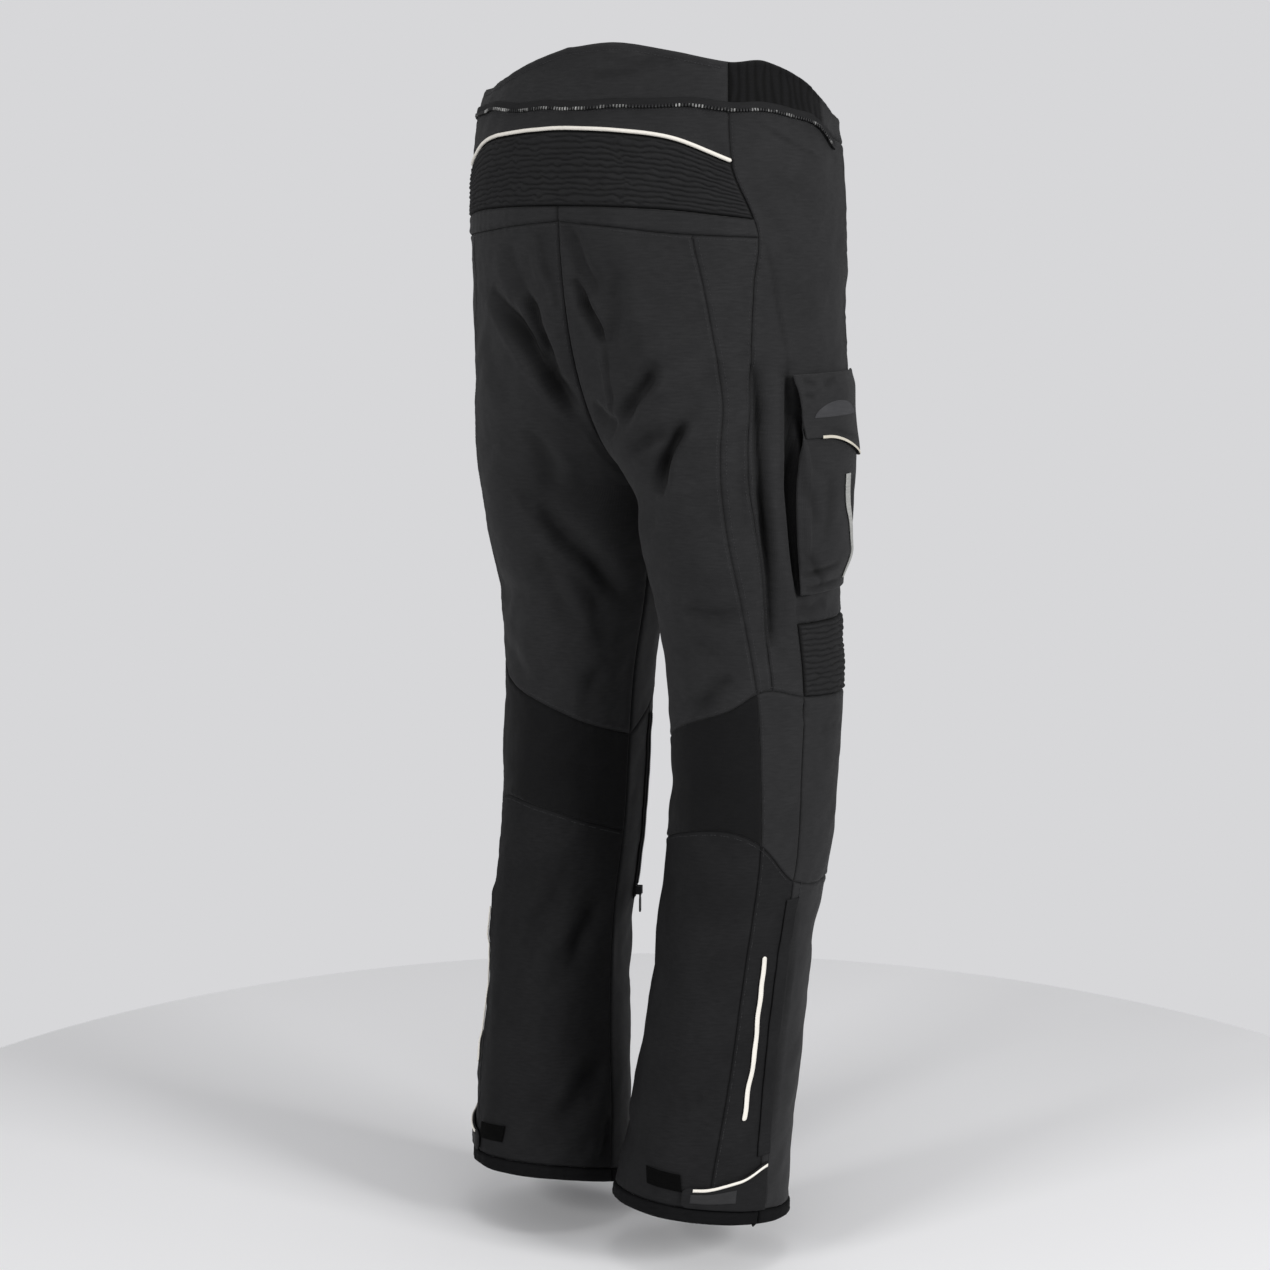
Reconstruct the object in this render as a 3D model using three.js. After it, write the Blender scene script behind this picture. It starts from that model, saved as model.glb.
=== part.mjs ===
// Motorcycle trousers, worn open at the waist and the hems, in millimetres.
// +Z is up, -Y is the wearer's front, +X is the wearer's left, and the origin is the centre of the waist.
import * as THREE from "three";

// Driving dimensions
const cloth = 1.8;
const seam = 0.3;
const lift = 1.0;
const around = 530;
const crotch = -400;
const ribCount = 13;
const ribHeight = 1.8;
const seatLevel = -335;
const sideRibTop = -527;
const bindingWidth = 14;
const slitWidth = 6;
const waistLean = 24;
const leftStripe = 0.368;
const rightStripe = 0.41;
const calfTurn = 0.03;

// Level sections of one side. Above the crotch inner is negative, and the section is cut off at the middle
// plane. start is the angle of the ellipse's cut, eased through the crotch, which evens out the shares away
// from the middle.
const sectionColumns = ["height", "outer", "inner", "front", "back", "turn", "start"];
const sections = [
  [70, 172, -172, -128, 136, 0, 1.57],
  [0, 185, -185, -137, 146, 0, 1.57],
  [-70, 195, -182, -144, 156, 0, 1.54],
  [-150, 200, -160, -149, 158, 0, 1.46],
  [-230, 197, -120, -150, 151, 0, 1.32],
  [-310, 196, -62, -144, 140, 0, 0.98],
  [-360, 195, -26, -134, 131, 0, 0.52],
  [-400, 193, 0, -125, 121, 0, 0.2],
  [-450, 192, 9, -114, 109, 0.03, 0.04],
  [-520, 189, 20, -109, 89, 0.07, 0],
  [-600, 190, 34, -103, 77, 0.12, 0],
  [-680, 190, 38, -96, 78, 0.12, 0],
  [-760, 189, 39, -88, 83, 0.12, 0],
  [-850, 185, 38, -65, 100, 0.11, 0],
  [-950, 181, 32, -52, 116, 0.1, 0],
  [-1050, 181, 19, -40, 133, 0.08, 0],
  [-1105, 181, 15, -33, 142, 0.06, 0],
  [-1145, 181, 13, -30, 147, 0.05, 0],
];

// Lengthwise seams: the share of the way round, from the back seam or inseam to the front one, at each
// height.
const seamColumns = ["height", "back", "pleat", "side", "front", "knee"];
const seamLines = [
  [70, 0.235, 0.3, 0.42, 0.62, 0.92],
  [-87, 0.235, 0.3, 0.42, 0.62, 0.92],
  [-150, 0.235, 0.348, 0.42, 0.62, 0.92],
  [-200, 0.257, 0.345, 0.421, 0.62, 0.92],
  [-290, 0.3, 0.352, 0.424, 0.62, 0.92],
  [-370, 0.329, 0.372, 0.43, 0.62, 0.92],
  [-460, 0.345, 0.392, 0.44, 0.62, 0.92],
  [-590, 0.356, 0.385, 0.447, 0.62, 0.92],
  [-750, 0.372, 0.405, 0.45, 0.62, 0.92],
  [-950, 0.375, 0.41, 0.456, 0.62, 0.92],
  [-1105, 0.36, 0.405, 0.462, 0.62, 0.92],
];

// Crosswise edges and seams: the height of each at a share of the way round.
// The waist's top edge differs on the wearer's left.
const levelColumns = [
  "share", "top", "topLeft", "zip", "piping", "ribs", "band", "kneeTop", "kneeBottom", "hem",
];
const levelLines = [
  [0, 22, 22, -32, -55, -126, -140, -665, -766, -1126],
  [0.1, 25, 8, -32, -58, -127, -145, -649, -750, -1114],
  [0.2, 16, -7, -31, -66, -130, -151, -629, -736, -1110],
  [0.3, 6, -12, -35, -87, -136, -154, -612, -730, -1112],
  [0.37, 8, -10, -36, -98, -140, -155, -592, -744, -1115],
  [0.45, -5, -16, -42, -100, -140, -155, -600, -783, -1121],
  [0.6, -40, -42, -64, -104, -142, -156, -604, -792, -1132],
  [0.8, -46, -46, -72, -110, -144, -157, -608, -796, -1138],
  [0.93, -46, -46, -74, -110, -144, -157, -645, -780, -1136],
  [1, -46, -46, -74, -110, -144, -157, -665, -766, -1126],
];

// The largest folds: from one place to another, with the width of a trough (negative depth) or ridge.
const foldColumns = ["side", "share", "height", "endShare", "endHeight", "bow", "width", "depth"];
const folds = [
  [0, 0.355, -275, 0.392, -560, 0.028, 12, -10],
  [0, 0.421, -283, 0.454, -510, 0.01, 11, -9],
  [0, 0.388, -300, 0.43, -520, 0.012, 12, 5],
  [1, 0.175, -215, 0.02, -320, -0.012, 13, -9],
  [1, 0.085, -210, 0.048, -280, 0, 9, -6],
  [1, 0.12, -160, 0.09, -212, 0, 13, -3],
  [1, 0.19, -420, 0.05, -515, 0.01, 13, -6],
  [1, 0.14, -345, 0.15, -400, 0, 12, -3],
  [-1, 0.03, -322, 0.12, -338, 0, 13, -6],
  [-1, 0.021, -150, 0.07, -210, 0, 12, -5],
  [-1, 0.03, -200, 0.08, -250, 0, 9, -5],
  [-1, 0.11, -185, 0.104, -270, 0, 12, -4],
  [-1, 0.188, -277, 0.135, -330, 0, 11, -7],
  [-1, 0.254, -330, 0.228, -395, 0, 9, -6],
  [-1, 0.225, -340, 0.165, -358, 0, 10, -4],
  [0, 0.06, -405, 0.22, -420, 0.02, 22, -4],
  [0, 0.97, -340, 0.8, -290, 0, 22, -5],
  [0, 0.96, -420, 0.78, -400, 0, 24, -4],
  [0, 0.23, -515, 0.35, -513, 0, 13, -3],
  [0, 0.2, -622, 0.32, -576, 0, 13, -4],
  [0, 0.06, -700, 0.3, -688, 0, 15, -3],
  [0, 0.1, -800, 0.3, -815, 0, 18, -3],
  [0, 0.62, -735, 0.85, -730, 0, 30, 5],
  [0, 0.6, -850, 0.85, -860, 0, 22, -4],
  [1, 0.41, -830, 0.4, -895, 0, 34, 5],
  [1, 0.41, -985, 0.4, -1040, 0, 32, 4],
  [0, 0.05, -835, 0.12, -905, 0, 15, -4],
  [0, 0.14, -815, 0.22, -885, 0, 16, -3],
  [0, 0.02, -1000, 0.14, -1060, 0, 18, -4],
  [0, 0.3, -900, 0.3, -1080, -0.02, 22, 3],
];

// Colours
const black = new THREE.MeshStandardMaterial({ color: 0x2c2d2f, roughness: 0.8, metalness: 0 });
const stretch = new THREE.MeshStandardMaterial({ color: 0x161617, roughness: 0.9, metalness: 0 });
const binding = new THREE.MeshStandardMaterial({ color: 0x121213, roughness: 0.7, metalness: 0 });
const reflective = new THREE.MeshStandardMaterial({ color: 0xe2ddd4, roughness: 0.5, metalness: 0 });
const silver = new THREE.MeshStandardMaterial({ color: 0x9b9c9e, roughness: 0.5, metalness: 0.1 });
const metal = new THREE.MeshStandardMaterial({ color: 0x2a2a2b, roughness: 0.35, metalness: 0.8 });

const garment = new THREE.Group();
const mix = THREE.MathUtils.lerp;
const ease = THREE.MathUtils.smoothstep;

// Smooth values between the rows of a table, whose first column runs one way.
function tableRow(table, names, value) {
  const last = table.length - 1;
  const down = table[0][0] > table[last][0] ? -1 : 1;
  let line = 0;
  while (line < last - 1 && down * (value - table[line + 1][0]) > 0) line += 1;
  const span = table[line + 1][0] - table[line][0];
  const part = THREE.MathUtils.clamp((value - table[line][0]) / span, 0, 1);
  const slope = (at, column) => {
    const low = Math.max(at - 1, 0);
    const high = Math.min(at + 1, last);
    return (table[high][column] - table[low][column]) / (table[high][0] - table[low][0]);
  };
  const square = part * part;
  const cube = square * part;
  const result = {};
  names.forEach((name, column) => {
    result[name] = (2 * cube - 3 * square + 1) * table[line][column]
      + (cube - 2 * square + part) * span * slope(line, column)
      + (3 * square - 2 * cube) * table[line + 1][column]
      + (cube - square) * span * slope(line + 1, column);
  });
  return result;
}

// How far the raised back of the waist sags inwards, on the wearer's left alone.
function sag(side, share, height) {
  if (side < 0) return 0;
  return waistLean * ease(height, -32, 28) * ease(share, 0.05, 0.3) * (1 - ease(share, 0.7, 0.95));
}

// A place on the smooth cut of the garment, before its folds. side is 1 on the wearer's left and -1 on the
// right.
function cutPoint(side, share, height) {
  const at = tableRow(sections, sectionColumns, height);
  const middle = (at.outer + at.inner) / 2;
  const halfWidth = (at.outer - at.inner) / 2;
  const cut = middle < halfWidth ? Math.acos(middle / halfWidth) : 0;
  const start = mix(cut, at.start, ease(share, 0, 0.12) * (1 - ease(share, 0.88, 1)));
  const angle = start + 2 * (Math.PI - start) * share;
  const x = middle - halfWidth * Math.cos(angle);
  const y = (at.front + at.back) / 2 + ((at.back - at.front) / 2) * Math.sin(angle) - at.turn * (x - middle);
  return new THREE.Vector3(side * (x - sag(side, share, height)), y, height);
}

// The way out of the cloth at a place.
function outward(side, share, height) {
  const step = 0.004;
  const low = Math.max(share - step, 0);
  const high = Math.min(share + step, 1);
  const across = cutPoint(side, high, height).sub(cutPoint(side, low, height));
  const down = cutPoint(side, share, height - 2).sub(cutPoint(side, share, height + 2));
  if (share < 0.01 || share > 0.99) down.set(0, 0, -1);
  return across.cross(down).multiplyScalar(side).normalize();
}

// How far the folds move the cloth out of its cut at a place.
function foldDepth(side, share, height) {
  let total = 0;
  for (const line of folds) {
    const fold = Object.fromEntries(foldColumns.map((name, place) => [name, line[place]]));
    if (fold.side !== 0 && fold.side !== side) continue;
    let nearest = Infinity;
    let place = 0;
    for (let step = 0; step <= 16; step += 1) {
      const part = step / 16;
      const bow = 4 * part * (1 - part) * fold.bow;
      const foldShare = fold.share + (fold.endShare - fold.share) * part + bow;
      const foldHeight = fold.height + (fold.endHeight - fold.height) * part;
      const distance = Math.hypot((share - foldShare) * around, height - foldHeight);
      if (distance < nearest) {
        nearest = distance;
        place = part;
      }
    }
    const fade = Math.min(1, Math.sin(Math.PI * (0.08 + 0.84 * place)) * 1.6);
    total += fold.depth * fade * Math.exp(-((nearest / fold.width) ** 2));
  }
  return total * ease(share, 0, 0.03) * ease(1 - share, 0, 0.03);
}

// The outer face of the cloth, kept on its own side of the middle plane, moved out by an offset.
function clothPoint(side, share, height, offset = 0) {
  const point = cutPoint(side, share, height);
  point.addScaledVector(outward(side, share, height), foldDepth(side, share, height) + offset);
  const middle = side * point.x;
  point.x = side * Math.max(middle, seam / 2);
  return point;
}

// The grid of seams. Its columns run from the back seam to the front one, and its rows from the waist to
// the hem.
const columnStops = [
  ["centre", 0], ["back", 6], ["pleat", 2], ["side", 2], ["front", 4], ["knee", 5], ["end", 2],
];
const rowStops = [
  ["top", 0], ["zip", 2], ["piping", 1], ["ribs", 2], ["band", 1], ["seat", 6], ["crotch", 4],
  ["sideRib", 4], ["kneeTop", 3], ["kneeBottom", 5], ["binding", 9], ["hem", 1],
];

function countStops(stops) {
  const index = {};
  let total = 0;
  for (const [name, steps] of stops) {
    total += steps;
    index[name] = total;
  }
  return index;
}

const column = countStops(columnStops);
const row = countStops(rowStops);

function spread(stops, index, valueAt) {
  let low = 0;
  for (let stop = 1; stop < stops.length; stop += 1) {
    const steps = stops[stop][1];
    if (index <= low + steps) {
      const part = (index - low) / steps;
      const eased = stops[stop][0] === "crotch" ? 1 - (1 - part) ** 2 : part;
      const from = valueAt(stops[stop - 1][0]);
      return from + (valueAt(stops[stop][0]) - from) * eased;
    }
    low += steps;
  }
  return valueAt(stops[stops.length - 1][0]);
}

// The heights of all the rows' named stops at a share of the way round.
function levelAt(share, side = -1) {
  const lines = tableRow(levelLines, levelColumns, share);
  if (side > 0) lines.top = lines.topLeft;
  return { ...lines, seat: seatLevel, crotch, sideRib: sideRibTop, binding: lines.hem + bindingWidth };
}

// The share and height of a grid place, which depend on each other, so they are settled in a few turns.
// The left calf hangs turned, so its back seam and its strip sit further back.
function gridPlace(side, columnIndex, rowIndex) {
  let share = columnIndex / column.end;
  let height = levelLines[0][levelColumns.indexOf("hem")] * (rowIndex / row.hem);
  for (let turn = 0; turn < 6; turn += 1) {
    const lines = levelAt(share, side);
    height = spread(rowStops, rowIndex, (name) => lines[name]);
    const seams = tableRow(seamLines, seamColumns, height);
    if (side > 0) seams.back -= calfTurn * ease(-height, 740, 900);
    seams.centre = 0;
    seams.end = 1;
    share = spread(columnStops, columnIndex, (name) => seams[name]);
  }
  return { share, height };
}

// One closed mesh from a patch of points: outer and inner faces, with a wall along every edge of the patch.
class Shell {
  constructor() {
    this.outer = [];
    this.inner = [];
    this.faces = [];
    this.edges = new Map();
    this.index = new Map();
  }

  place(key, makeOuter, makeInner) {
    if (!this.index.has(key)) {
      this.index.set(key, this.outer.length);
      this.outer.push(makeOuter);
      this.inner.push(makeInner);
    }
    return this.index.get(key);
  }

  triangle(a, b, c) {
    this.faces.push([a, b, c]);
    for (const [from, to] of [[a, b], [b, c], [c, a]]) {
      const back = `${to} ${from}`;
      if (this.edges.has(back)) this.edges.delete(back);
      else this.edges.set(`${from} ${to}`, [from, to]);
    }
  }

  quad(a, b, c, d) {
    this.triangle(a, b, c);
    this.triangle(a, c, d);
  }

  geometry() {
    const count = this.outer.length;
    const positions = [];
    for (const point of [...this.outer, ...this.inner]) positions.push(point.x, point.y, point.z);
    const triangles = [];
    for (const [a, b, c] of this.faces) {
      triangles.push(a, b, c, a + count, c + count, b + count);
    }
    for (const [from, to] of this.edges.values()) {
      triangles.push(from, from + count, to, to, from + count, to + count);
    }
    const geometry = new THREE.BufferGeometry();
    geometry.setAttribute("position", new THREE.Float32BufferAttribute(positions, 3));
    geometry.setIndex(triangles);
    geometry.computeVertexNormals();
    return geometry;
  }
}

function addMesh(name, geometry, material) {
  const mesh = new THREE.Mesh(geometry, material);
  mesh.name = name;
  garment.add(mesh);
  return mesh;
}

// A sewn panel: the grid cells in its blocks of columns and rows, less the seams round it.
// side is 1 or -1, or 0 for a panel that crosses the back seam, with negative columns on the wearer's right.
// slit is how much further its last column's edge is set back.
function panel(name, side, blocks, material, { thickness = cloth, proud = 0, slit = 0 } = {}) {
  const lastColumn = Math.max(...blocks.map((block) => block[1]));
  const cells = new Set();
  for (const [left, right, top, bottom] of blocks) {
    for (let c = left; c < right; c += 1) {
      for (let r = top; r < bottom; r += 1) cells.add(`${c} ${r}`);
    }
  }
  const holds = (c, r) => (cells.has(`${c} ${r}`) ? 1 : 0);
  const shell = new Shell();
  const corner = (c, r) => {
    const sideHere = side || (c < 0 ? -1 : 1);
    const east = holds(c, r - 1) + holds(c, r);
    const west = holds(c - 1, r - 1) + holds(c - 1, r);
    const north = holds(c - 1, r - 1) + holds(c, r - 1);
    const south = holds(c - 1, r) + holds(c, r);
    const place = gridPlace(sideHere, Math.abs(c), r);
    const onMiddle = c === 0 || c === column.end;
    const setBack = seam / 2 + (c === lastColumn ? slit : 0);
    const inset = onMiddle ? 0 : Math.sign(east - west) * (c < 0 ? -1 : 1) * (setBack / around);
    const share = place.share + inset;
    const height = place.height - Math.sign(south - north) * (seam / 2);
    const out = outward(sideHere, share, height);
    const outer = clothPoint(sideHere, share, height, proud);
    if (onMiddle && height < crotch + 1) {
      const neighbour = clothPoint(sideHere, share < 0.5 ? 0.01 : 0.99, height, proud);
      outer.addScaledVector(neighbour.sub(outer).normalize(), seam / 2);
    }
    if (east > 0 && west > 0 && c === 0) {
      outer.x = 0;
      out.setX(0).normalize();
    }
    return shell.place(`${c} ${r}`, outer, outer.clone().addScaledVector(out, -thickness - proud));
  };
  for (const key of cells) {
    const [c, r] = key.split(" ").map(Number);
    if (side < 0) shell.quad(corner(c, r), corner(c, r + 1), corner(c + 1, r + 1), corner(c + 1, r));
    else shell.quad(corner(c, r), corner(c + 1, r), corner(c + 1, r + 1), corner(c, r + 1));
  }
  return addMesh(name, shell.geometry(), material);
}

// A ribbed stretch panel: each of its grid cells is cut into fine rows, whose outer points rise at each rib.
// The inside stays plain.
function ribbedPanel(name, side, block, ribs, height, material) {
  const [left, right, top, bottom] = block;
  const shell = new Shell();
  const fineRows = ribs * 2;
  const edgePoint = (c, r) => {
    const sideHere = side || (c < 0 ? -1 : 1);
    const place = gridPlace(sideHere, Math.abs(c), r);
    const towards = (c === left ? 1 : 0) - (c === right ? 1 : 0);
    const share = place.share + towards * (c < 0 ? -1 : 1) * (seam / 2 / around);
    const level = place.height + (r === bottom ? seam / 2 : 0) - (r === top ? seam / 2 : 0);
    const point = clothPoint(sideHere, share, level);
    const out = outward(sideHere, share, level);
    if (c === 0) {
      point.x = 0;
      out.setX(0).normalize();
    }
    return { point, out };
  };
  for (let c = left; c <= right; c += 1) {
    const knots = [];
    for (let r = top; r <= bottom; r += 1) knots.push(edgePoint(c, r));
    for (let fine = 0; fine <= fineRows; fine += 1) {
      const at = (fine / fineRows) * (bottom - top);
      const knot = Math.min(Math.floor(at), bottom - top - 1);
      const point = knots[knot].point.clone().lerp(knots[knot + 1].point, at - knot);
      const out = knots[knot].out.clone().lerp(knots[knot + 1].out, at - knot).normalize();
      const raised = fine % 2 === 1 && c > left && c < right ? height : 0;
      const outer = point.clone().addScaledVector(out, raised);
      shell.place(`${c} ${fine}`, outer, point.addScaledVector(out, -cloth));
    }
  }
  const at = (c, r) => shell.index.get(`${c} ${r}`);
  for (let r = 0; r < fineRows; r += 1) {
    for (let c = left; c < right; c += 1) {
      if (side < 0) shell.quad(at(c, r), at(c, r + 1), at(c + 1, r + 1), at(c + 1, r));
      else shell.quad(at(c, r), at(c + 1, r), at(c + 1, r + 1), at(c, r + 1));
    }
  }
  return addMesh(name, shell.geometry(), material);
}

// A piece that lies on the panels: a patch of shares and heights, moved out from them by its rise.
// A piece that bridges the folds stays out of their troughs.
function overlay(name, side, patch, material, make) {
  const { across, down, thickness, rise = () => lift, bridges = false } = make;
  const shell = new Shell();
  const key = (c, r) => `${c} ${r}`;
  for (let r = 0; r <= down; r += 1) {
    for (let c = 0; c <= across; c += 1) {
      const [share, height] = patch(c / across, r / down);
      const sideHere = share < 0 ? -side : side;
      const shareHere = Math.abs(share);
      const trough = bridges ? Math.max(0, -foldDepth(sideHere, shareHere, height)) : 0;
      const offset = rise(shareHere, height) + trough;
      const inner = clothPoint(sideHere, shareHere, height, offset);
      const outer = clothPoint(sideHere, shareHere, height, offset + thickness);
      shell.place(key(c, r), outer, inner);
    }
  }
  const at = (c, r) => shell.index.get(key(c, r));
  for (let r = 0; r < down; r += 1) {
    for (let c = 0; c < across; c += 1) {
      if (side < 0) shell.quad(at(c, r), at(c, r + 1), at(c + 1, r + 1), at(c + 1, r));
      else shell.quad(at(c, r), at(c + 1, r), at(c + 1, r + 1), at(c, r + 1));
    }
  }
  return addMesh(name, shell.geometry(), material);
}

const seamAt = (height) => tableRow(seamLines, seamColumns, height);

// The raised back of the waist, its elastic insert and the front band of each side.
function waist() {
  panel("waist_back", 0, [[-column.pleat, column.pleat, row.top, row.zip]], black);
  const elasticEnd = column.side + 2;
  for (const [word, side] of sides) {
    panel(`waist_stretch_${word}`, side, [[column.pleat, elasticEnd, row.top, row.zip]], stretch);
    panel(`waist_front_${word}`, side, [[elasticEnd, column.end, row.top, row.zip]], black);
  }
}

// The zip half that joins the trousers to a jacket runs round the foot of the waist.
function connectionZip() {
  const reach = 0.57;
  const width = 9;
  const droop = (share) => 8 * ease(share, 0.47, reach);
  const patch = (u, v) => {
    const share = mix(-reach, reach, u);
    return [share, levelAt(Math.abs(share)).zip - droop(Math.abs(share)) + width * (0.5 - v)];
  };
  overlay("connection_zip", 1, patch, binding, { across: 50, down: 1, thickness: 2 });
}

// Yoke, piping, ribbed stretch panel and band across the back.
function back() {
  panel("yoke_back", 0, [[-column.pleat, column.pleat, row.zip, row.piping]], black);
  const ribBlock = [-column.pleat, column.pleat, row.piping, row.ribs];
  ribbedPanel("ribs_back", 0, ribBlock, ribCount, ribHeight, stretch);
  panel("band_back", 0, [[-column.pleat, column.pleat, row.ribs, row.band]], black);
  const reach = 0.3;
  const width = 3.4;
  const patch = (u, v) => {
    const share = mix(-reach, reach, u);
    return [share, levelAt(Math.abs(share)).piping + width * (1.1 - v)];
  };
  overlay("piping_back", 1, patch, reflective, { across: 44, down: 1, thickness: 2.4 });
}

// The panels of one leg from the waist to the hem.
function leg(word, side) {
  const { back: rear, pleat, side: outside, front, knee, end } = column;
  panel(`seat_${word}`, side, [[0, rear, row.band, row.kneeTop]], black);
  panel(`pleat_${word}`, side, [[rear, pleat, row.band, row.kneeTop]], black);
  panel(`side_${word}`, side, [
    [pleat, front, row.zip, row.sideRib], [pleat, outside, row.sideRib, row.kneeTop],
  ], black);
  const ribBlock = [outside, front, row.sideRib, row.kneeTop];
  ribbedPanel(`side_ribs_${word}`, side, ribBlock, ribCount, ribHeight, stretch);
  panel(`front_${word}`, side, [[front, end, row.zip, row.kneeTop]], black);
  panel(`knee_back_${word}`, side, [[0, rear, row.kneeTop, row.kneeBottom]], stretch);
  panel(`knee_side_${word}`, side, [[rear, outside, row.kneeTop, row.kneeBottom]], black);
  panel(`knee_front_${word}`, side, [[outside, knee, row.kneeTop, row.kneeBottom]], black);
  panel(`calf_back_${word}`, side, [[0, rear, row.kneeBottom, row.binding]], black);
  panel(`calf_side_${word}`, side, [[rear, outside, row.kneeBottom, row.binding]], black);
  panel(`shin_${word}`, side, [
    [outside, end, row.kneeBottom, row.binding], [knee, end, row.kneeTop, row.kneeBottom],
  ], black);
  const bound = { thickness: 2.2, proud: 0.8 };
  const boundSlit = { ...bound, slit: slitWidth };
  panel(`hem_back_${word}`, side, [[0, outside, row.binding, row.hem]], binding, boundSlit);
  panel(`hem_front_${word}`, side, [[outside, end, row.binding, row.hem]], binding, bound);
}

// The cargo pocket stands out like a shallow pillow, under a flap with a low front corner.
const pocketEdges = { back: 0.45, front: 0.645, top: -312, bottom: -498 };
const pocketDepth = 10;
const pleatRoom = 1.6;

function pocketRise(share, height) {
  const { back: low, front: high, top, bottom } = pocketEdges;
  const part = THREE.MathUtils.clamp((share - low) / (high - low), 0, 1);
  const across = Math.sqrt(Math.sin(Math.PI * part));
  return pocketDepth * across * ease(-height, -top, 60 - top) * (1 - ease(-height, -bottom - 40, -bottom));
}

function pocket(word, side) {
  const { back: low, front: high, top, bottom } = pocketEdges;
  const bagPatch = (u, v) => [mix(low, high, u), mix(top, bottom, v)];
  const pleatLift = (share) => lift + pleatRoom * (1 - ease(share, 0.44, 0.52));
  const bagRise = (share, height) => pleatLift(share) + pocketRise(share, height);
  const bagMake = { across: 8, down: 10, thickness: cloth, rise: bagRise, bridges: true };
  overlay(`pocket_${word}`, side, bagPatch, black, bagMake);
  const flapTop = -284;
  const flapPatch = (u, v) => {
    const lower = -345 - 24 * ease(u, 0.2, 0.9);
    return [mix(low - 0.026 + 0.03 * v, high + 0.01, u), mix(flapTop, lower, v)];
  };
  const flapRise = (share, height) => bagRise(share, height) + 3.4 * ease(-height, -flapTop, 18 - flapTop);
  const flapMake = { across: 10, down: 5, thickness: 2, rise: flapRise, bridges: true };
  overlay(`pocket_flap_${word}`, side, flapPatch, black, flapMake);
  const stripeWidth = 8 / around;
  const stripePatch = (u, v) => {
    const middle = 0.546 + 0.028 * ease(v, 0.15, 0.75) - 0.01 * ease(v, 0.75, 1);
    return [middle + stripeWidth * (u - 0.5), mix(-382, -488, v)];
  };
  const stripeRise = (share, height) => bagRise(share, height) + cloth + 1;
  const stripeMake = { across: 1, down: 14, thickness: 1, rise: stripeRise, bridges: true };
  overlay(`pocket_stripe_${word}`, side, stripePatch, silver, stripeMake);
}

// A narrow reflective strip down the outer calf, further back on the left, where the calf hangs turned.
function calfStripe(word, side) {
  const width = 5 / around;
  const patch = (u, v) => {
    const middle = (side > 0 ? leftStripe : rightStripe) + 0.006 * Math.sin(Math.PI * v);
    return [middle + width * (u - 0.5), mix(-853, -1015, v)];
  };
  overlay(`calf_stripe_${word}`, side, patch, reflective, { across: 1, down: 20, thickness: 1.2 });
}

// The placket over the ankle zip, and the hem tab with its piping and its patch of loops.
function ankle(word, side) {
  const placketWidth = 16 / around;
  const placketPatch = (u, v) => {
    const height = mix(-800, -1054, v);
    return [seamAt(height).side + placketWidth * (u - 0.4), height];
  };
  overlay(`ankle_placket_${word}`, side, placketPatch, black, { across: 2, down: 26, thickness: 1.6 });
  const tabTop = (u) => -1078 + 6 * ease(u, 0.2, 0.7) + 11 * ease(u, 0.6, 1);
  const tabLow = (u) => levelAt(mix(0.312, 0.474, u)).binding + 0.5;
  const roundEnd = (u) => 1 - Math.sqrt(Math.max(0, 1 - (1 - Math.min(1, u / 0.08)) ** 2));
  const tabPatch = (u, v) => {
    const middle = (tabTop(u) + tabLow(u)) / 2;
    const upper = mix(tabTop(u), middle, 0.6 * roundEnd(u));
    const lower = mix(tabLow(u), middle, 0.6 * roundEnd(u));
    return [mix(0.312, 0.474, u), mix(upper, lower, v)];
  };
  const tabMake = { across: 14, down: 2, thickness: 2, rise: () => lift + 0.5 };
  overlay(`hem_tab_${word}`, side, tabPatch, black, tabMake);
  const pipePatch = (u, v) => {
    const along = mix(0.12, 0.97, u);
    return [mix(0.312, 0.474, along), tabTop(along) - 1 - 3 * v];
  };
  const pipeMake = { across: 14, down: 1, thickness: 1.6, rise: () => lift + 3 };
  overlay(`tab_piping_${word}`, side, pipePatch, reflective, pipeMake);
  const loopPatch = (u, v) => [mix(0.236, 0.305, u), mix(-1062, -1079, v)];
  overlay(`loop_patch_${word}`, side, loopPatch, binding, { across: 5, down: 2, thickness: 1.4 });
}

// The fly lies over the front seam's left side and is closed by a press stud.
function fly() {
  const flyPatch = (u, v) => [mix(0.935, 0.9985, u), mix(-52, -215, v) + 16 * ease(v, 0.8, 1) * (1 - u)];
  overlay("fly", 1, flyPatch, black, { across: 4, down: 14, thickness: cloth });
  const studHeight = -62;
  const studShare = 0.968;
  const stud = addMesh("waist_stud", new THREE.CylinderGeometry(7.5, 7.5, 2.6, 24), metal);
  seat(stud, 1, studShare, studHeight, lift + cloth + 2.4);
}

// Stands a mesh on the cloth, with its X along the cloth, its Y out of it and its Z up.
function seat(mesh, side, share, height, offset) {
  const out = outward(side, share, height).setZ(0).normalize();
  const up = new THREE.Vector3(0, 0, 1);
  const along = out.clone().cross(up);
  mesh.position.copy(clothPoint(side, share, height)).addScaledVector(out, offset);
  mesh.quaternion.setFromRotationMatrix(new THREE.Matrix4().makeBasis(along, out, up));
}

// The zip beside each knee: its tape, its slider with two ears, and the tab that hangs between them.
const zipShare = 0.915;
const sliderHeight = -836;

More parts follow.
